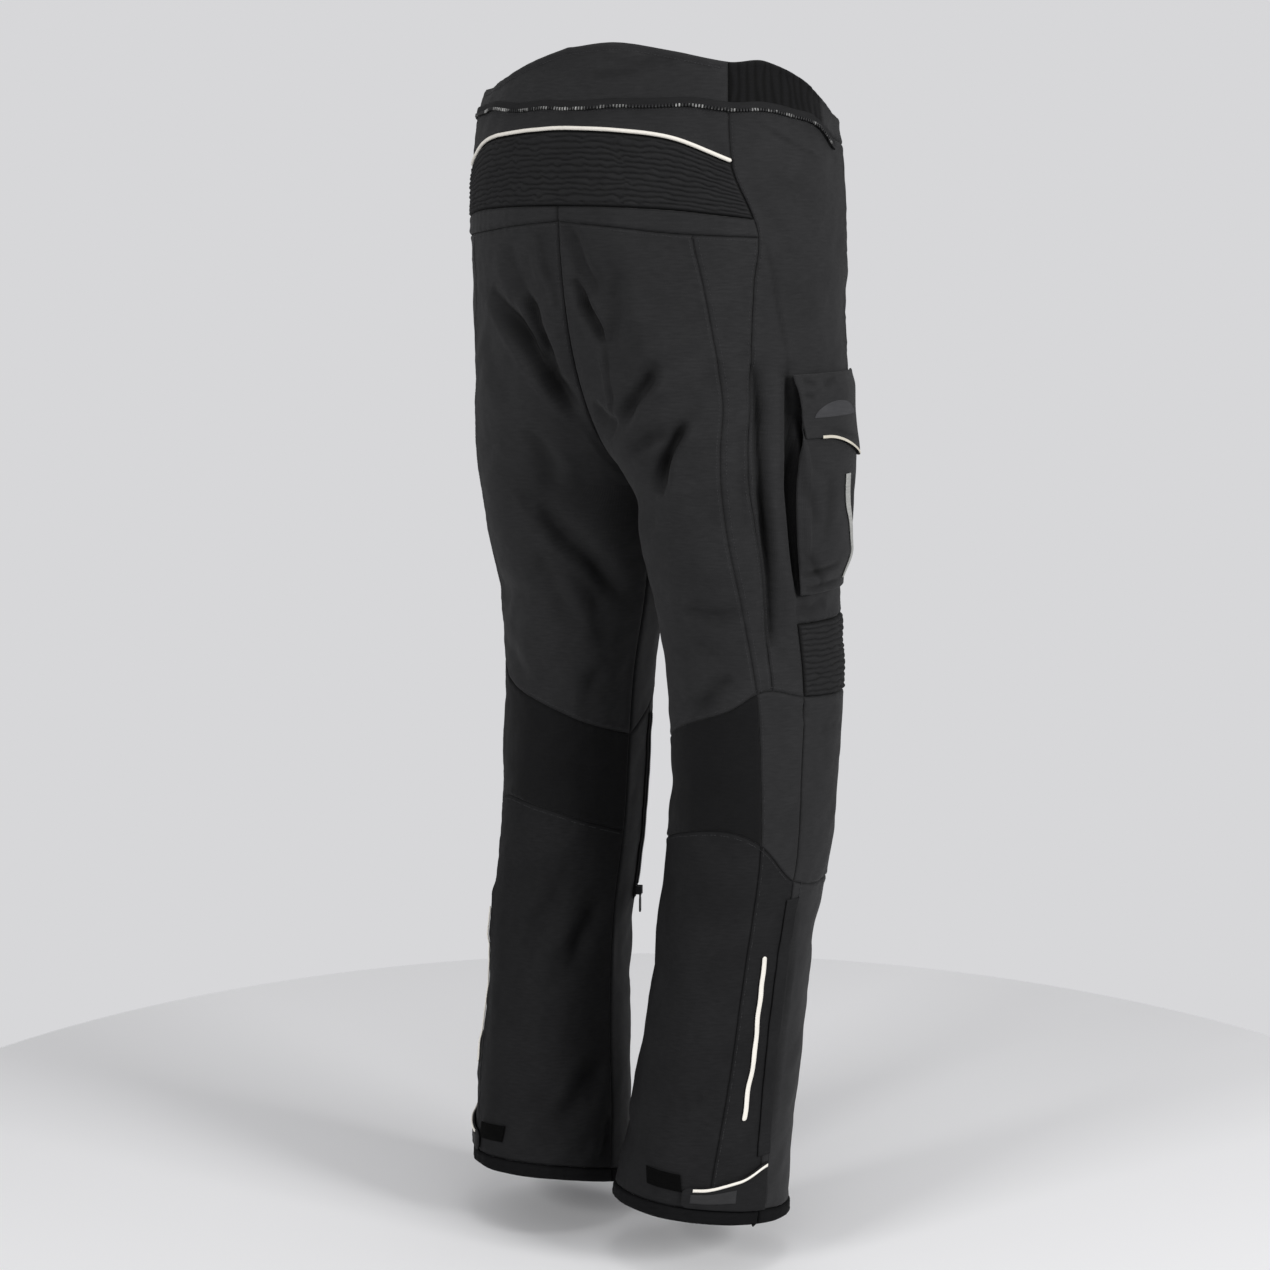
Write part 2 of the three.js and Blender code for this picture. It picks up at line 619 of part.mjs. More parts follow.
function kneeZip(word, side) {
  const tapeWidth = 11 / around;
  const tapePatch = (u, v) => [zipShare + tapeWidth * (u - 0.5), mix(-650, sliderHeight - 8, v)];
  overlay(`knee_zip_${word}`, side, tapePatch, binding, { across: 1, down: 22, thickness: 1.4 });
  const bodyWidth = 7;
  const bodyLength = 9;
  const floor = 2.4;
  const earTop = 6.6;
  const ear = 1.3;
  const half = bodyWidth / 2;
  const outline = new THREE.Shape([
    new THREE.Vector2(-half, 0), new THREE.Vector2(half, 0), new THREE.Vector2(half, earTop),
    new THREE.Vector2(half - ear, earTop), new THREE.Vector2(half - ear, floor),
    new THREE.Vector2(ear - half, floor), new THREE.Vector2(ear - half, earTop),
    new THREE.Vector2(-half, earTop),
  ]);
  const body = new THREE.ExtrudeGeometry(outline, { depth: bodyLength, bevelEnabled: false });
  body.translate(0, 0, -bodyLength / 2);
  const tapeTop = lift + 1.4 + 0.5;
  seat(addMesh(`zip_slider_${word}`, body, metal), side, zipShare, sliderHeight, tapeTop);
  const pin = 4.5;
  const pullThickness = 1.4;
  const headHalf = (bodyWidth - 2 * ear - 2 * seam) / 2;
  const tabHalf = 3;
  const length = 24;
  const tab = new THREE.Shape();
  tab.moveTo(-headHalf, 1.2);
  tab.lineTo(-headHalf, -7);
  tab.lineTo(-tabHalf, -11);
  tab.lineTo(-tabHalf, tabHalf - length);
  tab.absarc(0, tabHalf - length, tabHalf, Math.PI, 2 * Math.PI, false);
  tab.lineTo(tabHalf, -11);
  tab.lineTo(headHalf, -7);
  tab.lineTo(headHalf, 1.2);
  const eye = new THREE.Path();
  eye.absarc(0, tabHalf - length, 1.4, 0, 2 * Math.PI, true);
  tab.holes.push(eye);
  const pullMake = { depth: pullThickness, bevelEnabled: false, curveSegments: 10 };
  const pull = new THREE.ExtrudeGeometry(tab, pullMake);
  pull.rotateX(Math.PI / 2);
  pull.translate(0, pullThickness / 2, 0);
  seat(addMesh(`zip_pull_${word}`, pull, metal), side, zipShare, sliderHeight, tapeTop + pin);
}

const sides = [["left", 1], ["right", -1]];
waist();
connectionZip();
back();
fly();
for (const [word, side] of sides) {
  leg(word, side);
  pocket(word, side);
  calfStripe(word, side);
  ankle(word, side);
  kneeZip(word, side);
}

export default garment;
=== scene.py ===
import math

import bmesh
import bpy
import numpy as np
from mathutils import Matrix, Vector


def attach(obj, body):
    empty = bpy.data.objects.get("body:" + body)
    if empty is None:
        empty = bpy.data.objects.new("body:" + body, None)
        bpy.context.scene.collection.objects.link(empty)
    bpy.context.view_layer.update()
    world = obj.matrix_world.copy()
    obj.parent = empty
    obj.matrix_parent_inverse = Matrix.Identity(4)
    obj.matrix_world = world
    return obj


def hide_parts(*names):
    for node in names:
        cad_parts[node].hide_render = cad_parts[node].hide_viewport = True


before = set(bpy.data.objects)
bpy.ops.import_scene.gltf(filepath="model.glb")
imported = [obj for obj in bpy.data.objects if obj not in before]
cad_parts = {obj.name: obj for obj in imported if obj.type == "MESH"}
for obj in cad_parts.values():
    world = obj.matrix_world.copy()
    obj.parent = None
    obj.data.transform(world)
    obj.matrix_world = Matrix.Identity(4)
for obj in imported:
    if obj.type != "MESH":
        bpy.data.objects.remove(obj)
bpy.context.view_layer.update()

# The stand-in for a studio: a round pale floor, an evenly pale backdrop and soft lights from both sides.
# The camera stands behind the wearer's right side, level with the seat and tilted down a little.
MM = 0.001


def linear(hex_colour):
    """An sRGB hex colour as linear numbers."""
    values = [int(hex_colour[i:i + 2], 16) / 255 for i in (1, 3, 5)]
    return [v / 12.92 if v <= 0.04045 else ((v + 0.055) / 1.055) ** 2.4 for v in values]


def add_node(material, kind, inputs=(), **settings):
    """Adds a node, sets its properties, and sets or links its inputs by name or number."""
    node = material.node_tree.nodes.new(kind)
    for key, value in settings.items():
        setattr(node, key, value)
    for socket, value in dict(inputs).items():
        if isinstance(value, bpy.types.NodeSocket):
            material.node_tree.links.new(value, node.inputs[socket])
        else:
            node.inputs[socket].default_value = value
    return node


def new_material(name, roughness, specular=0.3, metallic=0.0):
    """A material with its Principled shader's plain values set."""
    material = bpy.data.materials.new(name)
    material.use_nodes = True
    shader = material.node_tree.nodes["Principled BSDF"]
    shader.inputs["Roughness"].default_value = roughness
    shader.inputs["Specular IOR Level"].default_value = specular
    shader.inputs["Metallic"].default_value = metallic
    return material, shader


view_azimuth = math.radians(218)
view_pitch = math.radians(-9)
camera_distance = 2.70
camera_height = -0.13
camera_aside = 0.024
camera_lens = 76.0

ahead = Vector((-math.sin(view_azimuth), math.cos(view_azimuth), 0))
rightward = ahead.cross(Vector((0, 0, 1)))
camera_data = bpy.data.cameras.new("camera")
camera_data.lens = camera_lens
camera_data.sensor_width = 36
camera = bpy.data.objects.new("camera", camera_data)
bpy.context.collection.objects.link(camera)
camera.location = -ahead * camera_distance - rightward * camera_aside + Vector((0, 0, camera_height))
sight = ahead * math.cos(view_pitch) + Vector((0, 0, math.sin(view_pitch)))
camera.rotation_euler = sight.to_track_quat("-Z", "Y").to_euler()
bpy.context.scene.camera = camera

floor_height = -1.175
floor_radius = 1.0
floor_bmesh = bmesh.new()
bmesh.ops.create_circle(floor_bmesh, cap_ends=True, segments=128, radius=floor_radius)
bmesh.ops.translate(floor_bmesh, verts=floor_bmesh.verts, vec=(0, 0, floor_height))
floor_mesh = bpy.data.meshes.new("studio_floor")
floor_bmesh.to_mesh(floor_mesh)
floor_bmesh.free()
studio_floor = bpy.data.objects.new("studio_floor", floor_mesh)
bpy.context.collection.objects.link(studio_floor)
paper, paper_shader = new_material("matt studio paper", 0.9, 0.1)
paper_shader.inputs["Base Color"].default_value = (*linear("#f3f3f4"), 1)
floor_mesh.materials.append(paper)

world = bpy.data.worlds.new("studio")
world.use_nodes = True
backdrop = world.node_tree.nodes["Background"]
backdrop.inputs["Color"].default_value = (*linear("#d7d7d9"), 1)
backdrop.inputs["Strength"].default_value = 1.0
room = world.node_tree.nodes.new("ShaderNodeBackground")
room.inputs["Color"].default_value = (*linear("#dcdcde"), 1)
room.inputs["Strength"].default_value = 0.5
seen = world.node_tree.nodes.new("ShaderNodeMixShader")
light_path = world.node_tree.nodes.new("ShaderNodeLightPath")
world.node_tree.links.new(light_path.outputs["Is Camera Ray"], seen.inputs[0])
world.node_tree.links.new(room.outputs[0], seen.inputs[1])
world.node_tree.links.new(backdrop.outputs[0], seen.inputs[2])
world.node_tree.links.new(seen.outputs[0], world.node_tree.nodes["World Output"].inputs["Surface"])
bpy.context.scene.world = world
bpy.context.scene.view_settings.view_transform = "Standard"


def soft_light(name, back, right, height, size, power):
    """A square area light, placed from the camera's side of the garment and turned to its middle."""
    data = bpy.data.lights.new(name, "AREA")
    data.size = size
    data.energy = power
    lamp = bpy.data.objects.new(name, data)
    bpy.context.collection.objects.link(lamp)
    lamp.location = -ahead * back + rightward * right + Vector((0, 0, height))
    lamp.rotation_euler = (Vector((0, 0, -0.55)) - lamp.location).to_track_quat("-Z", "Y").to_euler()


soft_light("left light", 2.6, -2.6, 0.7, 1.2, 68)
soft_light("right light", 2.2, 2.9, 0.6, 1.2, 100)
soft_light("top light", 0.7, 0.2, 1.9, 0.9, 9)

# Shell cloth: charcoal nylon woven from thick textured yarn. The seat panels meet at the back seam.
# All panels share one cut, worked out from level sections, and their seams are lines across that cut.
SECTIONS = {
    "height": (70, 0, -70, -150, -230, -310, -360, -400, -450,
               -520, -600, -680, -760, -850, -950, -1050, -1105, -1145),
    "outer": (172, 185, 195, 200, 197, 196, 195, 193, 192, 189, 190, 190, 189, 185, 181, 181, 181, 181),
    "inner": (-172, -185, -182, -160, -120, -62, -26, 0, 9, 20, 34, 38, 39, 38, 32, 19, 15, 13),
    "front": (-128, -137, -144, -149, -150, -144, -134, -125, -114,
              -109, -103, -96, -88, -65, -52, -40, -33, -30),
    "back": (136, 146, 156, 158, 151, 140, 131, 121, 109, 89, 77, 78, 83, 100, 116, 133, 142, 147),
    "turn": (0, 0, 0, 0, 0, 0, 0, 0, 0.03, 0.07, 0.12, 0.12, 0.12, 0.11, 0.1, 0.08, 0.06, 0.05),
    "start": (1.57, 1.57, 1.54, 1.46, 1.32, 0.98, 0.52, 0.2, 0.04, 0, 0, 0, 0, 0, 0, 0, 0, 0),
}
SEAMS = {
    "height": (70, -87, -150, -200, -290, -370, -460, -590, -750, -950, -1105),
    "back": (0.235, 0.235, 0.235, 0.257, 0.3, 0.329, 0.345, 0.356, 0.372, 0.375, 0.36),
    "pleat": (0.3, 0.3, 0.348, 0.345, 0.352, 0.372, 0.392, 0.385, 0.405, 0.41, 0.405),
    "side": (0.42, 0.42, 0.42, 0.421, 0.424, 0.43, 0.44, 0.447, 0.45, 0.456, 0.462),
    "front": (0.62,) * 11,
    "knee": (0.92,) * 11,
}
LEVELS = {
    "share": (0, 0.1, 0.2, 0.3, 0.37, 0.45, 0.6, 0.8, 0.93, 1),
    "top": (22, 25, 16, 6, 8, -5, -40, -46, -46, -46),
    "topLeft": (22, 8, -7, -12, -10, -16, -42, -46, -46, -46),
    "zip": (-32, -32, -31, -35, -36, -42, -64, -72, -74, -74),
    "piping": (-55, -58, -66, -87, -98, -100, -104, -110, -110, -110),
    "ribs": (-126, -127, -130, -136, -140, -140, -142, -144, -144, -144),
    "band": (-140, -145, -151, -154, -155, -155, -156, -157, -157, -157),
    "kneeTop": (-665, -649, -629, -612, -592, -600, -604, -608, -645, -665),
    "kneeBottom": (-766, -750, -736, -730, -744, -783, -792, -796, -780, -766),
    "hem": (-1126, -1114, -1110, -1112, -1115, -1121, -1132, -1138, -1136, -1126),
}
CROTCH = -400
SEAT_LEVEL = -335
SIDE_RIBS = -527
BINDING_WIDTH = 14
WAIST_LEAN = 24
CALF_TURN = 0.03
AROUND = 530
COLUMNS = (("centre", 0), ("back", 6), ("pleat", 2), ("side", 2), ("front", 4), ("knee", 5), ("end", 2))
ROWS = (("top", 0), ("zip", 2), ("piping", 1), ("ribs", 2), ("band", 1), ("seat", 6), ("crotch", 4),
        ("sideRib", 4), ("kneeTop", 3), ("kneeBottom", 5), ("binding", 9), ("hem", 1))


def smooth_table(table, value):
    """Smooth values between the rows of a table, for an array of its first column's values."""
    names = list(table)
    knots = np.array(table[names[0]], float)
    order = 1 if knots[-1] > knots[0] else -1
    row_at = np.clip(np.searchsorted(order * knots, order * value) - 1, 0, len(knots) - 2)
    span = knots[row_at + 1] - knots[row_at]
    part = np.clip((value - knots[row_at]) / span, 0, 1)
    square, cube = part ** 2, part ** 3
    result = {}
    for name in names:
        heights = np.array(table[name], float)
        low = np.maximum(np.arange(len(knots)) - 1, 0)
        high = np.minimum(np.arange(len(knots)) + 1, len(knots) - 1)
        slope = (heights[high] - heights[low]) / (knots[high] - knots[low])
        result[name] = ((2 * cube - 3 * square + 1) * heights[row_at]
                        + (cube - 2 * square + part) * span * slope[row_at]
                        + (3 * square - 2 * cube) * heights[row_at + 1]
                        + (cube - square) * span * slope[row_at + 1])
    return result


def ease(value, low, high):
    """A smooth step from 0 at low to 1 at high."""
    part = np.clip((value - low) / (high - low), 0, 1)
    return part * part * (3 - 2 * part)


def cut_point(side, share, height):
    """Places on the cut before its folds, in mm. side is 1 on the wearer's left and -1 on the right."""
    at = smooth_table(SECTIONS, height)
    middle = (at["outer"] + at["inner"]) / 2
    half = (at["outer"] - at["inner"]) / 2
    start = np.arccos(np.clip(middle / half, -1, 1))
    start = start + (at["start"] - start) * ease(share, 0, 0.12) * (1 - ease(share, 0.88, 1))
    angle = start + 2 * (np.pi - start) * share
    x = middle - half * np.cos(angle)
    y = (at["front"] + at["back"]) / 2 + (at["back"] - at["front"]) / 2 * np.sin(angle)
    y = y - at["turn"] * (x - middle)
    sag = WAIST_LEAN * ease(height, -32, 28) * ease(share, 0.05, 0.3) * (1 - ease(share, 0.7, 0.95))
    x = x - np.where(side > 0, sag, 0)
    return np.stack([side * x, y, height], -1)


def outward(side, share, height):
    """The way out of the cloth."""
    step = 0.004
    after, before = np.minimum(share + step, 1), np.maximum(share - step, 0)
    across = cut_point(side, after, height) - cut_point(side, before, height)
    down = cut_point(side, share, height - 2) - cut_point(side, share, height + 2)
    edge = (share < 0.01) | (share > 0.99)
    down = np.where(edge[:, None], np.array([0.0, 0.0, -1.0]), down)
    out = np.cross(across, down) * np.reshape(side, (-1, 1))
    return out / np.linalg.norm(out, axis=1)[:, None]


def stops_index(stops):
    """The grid place of each named stop."""
    index, total = {}, 0
    for name, steps in stops:
        total += steps
        index[name] = total
    return index


column = stops_index(COLUMNS)
row = stops_index(ROWS)


def spread(stops, index, value_at):
    """Values at real-valued grid places, between the named stops."""
    result = np.zeros_like(index) + value_at(stops[0][0])
    low = 0
    for (before, _), (name, steps) in zip(stops, stops[1:]):
        part = np.clip((index - low) / steps, 0, 1)
        if name == "crotch":
            part = 1 - (1 - part) ** 2
        first = value_at(before)
        result = np.where(index > low, first + (value_at(name) - first) * part, result)
        low += steps
    return result


def levels_at(side, share):
    """The heights of the rows' named stops."""
    lines = smooth_table(LEVELS, share)
    lines["top"] = np.where(side > 0, lines["topLeft"], lines["top"])
    lines["binding"] = lines["hem"] + BINDING_WIDTH
    return {**lines, "seat": SEAT_LEVEL, "crotch": CROTCH, "sideRib": SIDE_RIBS}


def grid_place(side, column_at, row_at):
    """The share and height of real-valued grid places, settled in a few turns because each depends on
    the other. The left calf hangs turned, so its back seam sits further back."""
    share = column_at / column["end"]
    height = LEVELS["hem"][0] * row_at / row["hem"]
    for _ in range(6):
        lines = levels_at(side, share)
        height = spread(ROWS, row_at, lambda name: lines[name])
        seams = {**smooth_table(SEAMS, height), "centre": 0, "end": 1}
        seams["back"] = seams["back"] - np.where(side > 0, CALF_TURN * ease(-height, 740, 900), 0)
        share = spread(COLUMNS, column_at, lambda name: seams[name])
    return share, height


def along_line(share, height, line):
    """The signed distance from a bowed line in millimetres, and how far along it the nearest place is.
    On the way down the line, the distance is positive where the share is greater."""
    share_0, height_0, share_1, height_1, bow = line
    part = np.linspace(0, 1, 13)
    x = (share_0 + (share_1 - share_0) * part + 4 * part * (1 - part) * bow) * AROUND
    y = height_0 + (height_1 - height_0) * part
    dx, dy = np.diff(x), np.diff(y)
    from_x = share[:, None] * AROUND - x[:-1]
    from_y = height[:, None] - y[:-1]
    place = np.clip((from_x * dx + from_y * dy) / (dx ** 2 + dy ** 2), 0, 1)
    gap_x, gap_y = from_x - place * dx, from_y - place * dy
    gap = np.hypot(gap_x, gap_y)
    nearest = gap.argmin(axis=1)
    pick = (np.arange(len(share)), nearest)
    sign = np.sign(gap_y[pick] * dx[nearest] - gap_x[pick] * dy[nearest])
    return gap[pick] * sign, (nearest + place[pick]) / len(dx)


def near_line(side, share, height, on_side, line, reach):
    """The numbers of the places that a line can touch."""
    shares = sorted((line[0], line[2], (line[0] + line[2]) / 2 + line[4]))
    heights = sorted((line[1], line[3]))
    inside = (share * AROUND > shares[0] * AROUND - reach) & (share * AROUND < shares[-1] * AROUND + reach)
    inside &= (height > heights[0] - reach) & (height < heights[1] + reach)
    if on_side:
        inside &= side == on_side
    return np.flatnonzero(inside)


# The largest folds: side (0 for both), share, height, end share, end height, bow, width, depth
FOLDS = (
    (0, 0.355, -275, 0.392, -560, 0.028, 10, -7),
    (0, 0.421, -283, 0.454, -510, 0.01, 9, -6),
    (0, 0.388, -300, 0.43, -520, 0.012, 12, 5),
    (1, 0.175, -215, 0.02, -320, -0.012, 13, -9),
    (1, 0.085, -210, 0.048, -280, 0, 9, -6),
    (1, 0.12, -160, 0.09, -212, 0, 13, -3),
    (1, 0.19, -420, 0.05, -515, 0.01, 13, -6),
    (1, 0.14, -345, 0.15, -400, 0, 12, -3),
    (-1, 0.03, -322, 0.12, -338, 0, 13, -6),
    (-1, 0.021, -150, 0.07, -210, 0, 12, -5),
    (-1, 0.03, -200, 0.08, -250, 0, 9, -5),
    (-1, 0.11, -185, 0.104, -270, 0, 12, -4),
    (-1, 0.188, -277, 0.135, -330, 0, 11, -7),
    (-1, 0.254, -330, 0.228, -395, 0, 9, -6),
    (-1, 0.225, -340, 0.165, -358, 0, 10, -4),
    (0, 0.06, -405, 0.22, -420, 0.02, 22, -4),
    (0, 0.97, -340, 0.8, -290, 0, 22, -5),
    (0, 0.96, -420, 0.78, -400, 0, 24, -4),
    (0, 0.23, -515, 0.35, -513, 0, 13, -3),
    (0, 0.2, -622, 0.32, -576, 0, 13, -4),
    (0, 0.06, -700, 0.3, -688, 0, 15, -3),
    (0, 0.1, -800, 0.3, -815, 0, 18, -3),
    (0, 0.62, -735, 0.85, -730, 0, 30, 5),
    (0, 0.6, -850, 0.85, -860, 0, 22, -4),
    (1, 0.41, -830, 0.4, -895, 0, 34, 5),
    (1, 0.41, -985, 0.4, -1040, 0, 32, 4),
    (0, 0.05, -835, 0.12, -905, 0, 15, -4),
    (0, 0.14, -815, 0.22, -885, 0, 16, -3),
    (0, 0.02, -1000, 0.14, -1060, 0, 18, -4),
    (0, 0.3, -900, 0.3, -1080, -0.02, 22, 3),
)


def fold_depth(side, share, height):
    """How far the largest folds move the cloth out of its cut, in millimetres."""
    total = np.zeros_like(share)
    for on_side, *line, width, depth in FOLDS:
        near = near_line(side, share, height, on_side, line, 3 * width)
        if len(near):
            distance, place = along_line(share[near], height[near], line)
            fade = np.minimum(1, np.sin(np.pi * (0.08 + 0.84 * place)) * 1.6)
            total[near] += depth * fade * np.exp(-(distance / width) ** 2)
    return total * ease(share, 0, 0.03) * ease(1 - share, 0, 0.03)


# The creases on them: the same columns, and a lip, the ridge beside the trough. It lies on the side of the
# greater share, or of the lesser where it is negative.
CREASES = (
    (0, 0.353, -272, 0.394, -550, 0.027, 2.6, -8, 0.3),
    (0, 0.42, -280, 0.454, -505, 0.011, 2.6, -8, 0.3),
    (0, 0.446, -318, 0.454, -493, 0.03, 3.0, -6, -0.4),
    (0, 0.355, -150, 0.421, -285, 0.006, 1.8, -1.6, 0.3),
    (0, 0.333, -44, 0.494, -85, -0.004, 1.6, -1.4, 0.3),
    (0, 0.36, -95, 0.47, -132, 0, 8, -2.2, 0.5),
    (0, 0.352, -118, 0.41, -178, 0, 7, -2.2, 0.5),
    (0, 0.38, -200, 0.46, -235, 0, 10, -1.6, 0.5),
    (0, 0.472, -800, 0.478, -1045, 0.007, 2.4, -3, 0.2),
    (-1, 0.05, -8, 0.17, 2, 0, 3, -2.4, 0.5),
    (-1, 0.07, 8, 0.2, 4, 0, 3.5, -2, 0.5),
    (1, 0.178, -206, 0.024, -324, -0.013, 6.5, -11, 0.5),
    (1, 0.084, -206, 0.046, -288, 0, 4.5, -8, 0.6),
    (1, 0.045, -150, 0.012, -224, 0, 4, -3.5, 0.6),
    (1, 0.122, -158, 0.09, -214, 0, 7, -2.5, 0.5),
    (1, 0.185, -420, 0.048, -515, 0.01, 6, -5, 0.6),
    (1, 0.148, -340, 0.146, -402, -0.008, 6, -3, -0.5),
    (1, 0.127, -482, 0.077, -566, 0, 8, -3.5, 0.5),
    (1, 0.22, -455, 0.12, -560, 0.006, 7, -2.5, -0.5),
    (1, 0.25, -560, 0.14, -640, 0, 9, -2.2, 0.5),
    (1, 0.07, -575, 0.12, -640, 0, 8, -3, 0.4),
    (1, 0.21, -240, 0.16, -330, 0, 10, -2, 0.5),
    (-1, 0.019, -143, 0.07, -212, 0, 5, -3.5, 0.5),
    (-1, 0.024, -195, 0.082, -256, 0, 3.4, -8, 0.4),
    (-1, 0.078, -250, 0.106, -335, 0.004, 2.2, -2.2, -0.8),
    (-1, 0.112, -178, 0.103, -272, 0, 8, -3, 0.4),
    (-1, 0.158, -235, 0.13, -290, 0, 7, -2.5, 0.4),
    (-1, 0.19, -272, 0.133, -332, 0, 6, -7, 0.6),
    (-1, 0.256, -326, 0.226, -400, 0, 4, -9, 0.5),
    (-1, 0.228, -338, 0.16, -358, 0, 5.5, -4.5, 0.6),
    (-1, 0.03, -320, 0.118, -340, 0, 7, -4, 0.4),
    (-1, 0.356, -330, 0.372, -428, 0, 4, -3, 0.5),
    (-1, 0.348, -255, 0.327, -276, 0, 4, -2, 0.5),
    (-1, 0.298, -270, 0.26, -328, 0, 7, -3, 0.4),
    (-1, 0.24, -514, 0.35, -516, 0, 6, -4, 0.5),
    (-1, 0.44, -516, 0.51, -510, 0, 5, -3.5, 0.5),
    (-1, 0.215, -616, 0.315, -576, 0, 5, -4, 0.6),
    (-1, 0.2, -560, 0.31, -545, 0, 8, -2.5, 0.4),
    (-1, 0.49, -634, 0.57, -636, 0, 5, -2.5, 0.5),
    (-1, 0.465, -622, 0.436, -611, 0, 4, -2, 0.5),
    (-1, 0.324, -990, 0.284, -1006, 0, 7, -2.5, 0.5),
    (-1, 0.2, -1040, 0.28, -1000, 0, 10, -2, 0.4),
    (-1, 0.08, -900, 0.15, -1010, 0, 12, -2, 0.4),
    (1, 0.045, -828, 0.1, -898, 0, 8, -3, 0.5),
    (1, 0.14, -815, 0.228, -886, 0, 9, -3, 0.5),
    (1, 0.2, -870, 0.26, -960, 0, 10, -2.2, 0.4),
    (1, 0.03, -1000, 0.125, -1054, 0, 8, -3, 0.5),
    (1, 0.013, -1056, 0.024, -1104, 0, 6, -3, 0.5),
    (1, 0.2, -990, 0.13, -1090, 0, 10, -2, 0.4),
    (0, 0.97, -335, 0.82, -285, 0, 7, -5, 0.5),
    (0, 0.965, -395, 0.8, -372, 0, 8, -4, 0.4),
    (0, 0.94, -230, 0.86, -300, 0, 8, -3, 0.5),
    (0, 0.62, -180, 0.7, -250, 0, 9, -2.5, 0.5),
    (0, 0.95, -470, 0.78, -520, 0, 9, -3, 0.5),
    (0, 0.68, -480, 0.8, -560, 0, 10, -2.5, 0.4),
    (0, 0.7, -690, 0.88, -680, 0, 7, -3, 0.5),
    (0, 0.66, -815, 0.88, -805, 0, 8, -3.5, 0.5),
    (0, 0.72, -880, 0.9, -930, 0, 10, -2.5, 0.4),
    (0, 0.6, -1000, 0.78, -1060, 0, 11, -2.5, 0.4),
)


def crease_depth(side, share, height):
    """How far the creases move the cloth, each a little wavering and uneven, and the painted shade in them,
    darkest where a trough is steep.
    """
    total = np.zeros_like(share)
    painted_shade = np.zeros_like(share)
    for number, (on_side, *line, width, depth, lip) in enumerate(CREASES):
        near = near_line(side, share, height, on_side, line, 5 * width)
        if not len(near):
            continue
        distance, place = along_line(share[near], height[near], line)
        distance = distance + 0.3 * width * np.sin(9 * place + number)
        toward = distance * np.sign(lip)
        wide = width * np.where(toward < 0, 1.9, 1.0)
        fade = np.sqrt(np.sin(np.pi * place)) * (0.85 + 0.15 * np.sin(14 * place + 2 * number))
        ridge = abs(lip) * np.exp(-((toward - 2.3 * width) / (1.2 * width)) ** 2)
        total[near] += depth * fade * (np.exp(-(distance / wide) ** 2) - ridge)
        # Painted shade: steep troughs are darkened in the colour.
        steep = np.clip(-depth / (2.1 * width), 0, 1) ** 1.3
        dark = steep * fade * np.exp(-(distance / (0.5 * wide + 0.5 * width)) ** 2)
        painted_shade[near] = np.maximum(painted_shade[near], dark)
    ends = ease(share, 0, 0.015) * ease(1 - share, 0, 0.015)
    return total * ends, painted_shade * ends


LATTICE = np.random.default_rng(11).uniform(-1, 1, (97, 97))


def soft_noise(x, y):
    """Smooth uneven values from -1 to 1, about one swell to a unit."""
    i, j = np.floor(x).astype(int), np.floor(y).astype(int)
    u, v = ease(x - i, 0, 1), ease(y - j, 0, 1)
    corner = [[LATTICE[(i + a) % 97, (j + b) % 97] for b in (0, 1)] for a in (0, 1)]
    return ((corner[0][0] * (1 - u) + corner[1][0] * u) * (1 - v)
            + (corner[0][1] * (1 - u) + corner[1][1] * u) * v)


def unevenness(side, share, height):
    """The slight dents and swells of cloth that no seam or crease makes."""
    x = side * share * AROUND
    total = 2.0 * soft_noise(x / 42 + 5, height / 75) + 0.8 * soft_noise((x + height) / 19, (height - x) / 33)
    total += 0.18 * soft_noise(x / 7, height / 9)
    return total * ease(share, 0, 0.03) * ease(1 - share, 0, 0.03)


def cloth_shape(side, share, height, offset=0.0, bridges=False):
    """Places on the outer face of the cloth, moved out by an offset, in mm, and the painted shade of each,
    from
    0 to 1, darkest in steep creases and fold troughs. A place that bridges the folds stays out of their
    troughs and over their ridges, and gets no painted shade."""
    point = cut_point(side, share, height)
    out = outward(side, share, height)
    fold = fold_depth(side, share, height)
    crease, painted_shade = crease_depth(side, share, height)
    uneven = unevenness(side, share, height)
    if bridges:
        move = np.maximum(fold, 0) + np.maximum(crease, 0) + 0.5 * uneven + 0.6
    else:
        move = fold + crease + uneven
    point = point + out * (move + offset)[:, None]
    point[:, 0] = side * np.maximum(side * point[:, 0], 0.02)
    # Painted shade from the creases and the fold troughs; bridging places get none.
    return point, painted_shade * 0 if bridges else np.clip(painted_shade + np.maximum(-fold, 0) / 45, 0, 1)


def cloth_point(side, share, height, offset=0.0, bridges=False):
    """The places alone."""
    return cloth_shape(side, share, height, offset, bridges)[0]


def finish_piece(name, mesh, material, replaces):
    """Puts a mesh on a smooth-shaded object that rides on the garment and replaces its solids."""
    piece = bpy.data.objects.new(name, mesh)
    bpy.context.collection.objects.link(piece)
    mesh.materials.append(material)
    for polygon in mesh.polygons:
        polygon.use_smooth = True
    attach(piece, "root")
    if replaces:
        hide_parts(*replaces)
    return piece


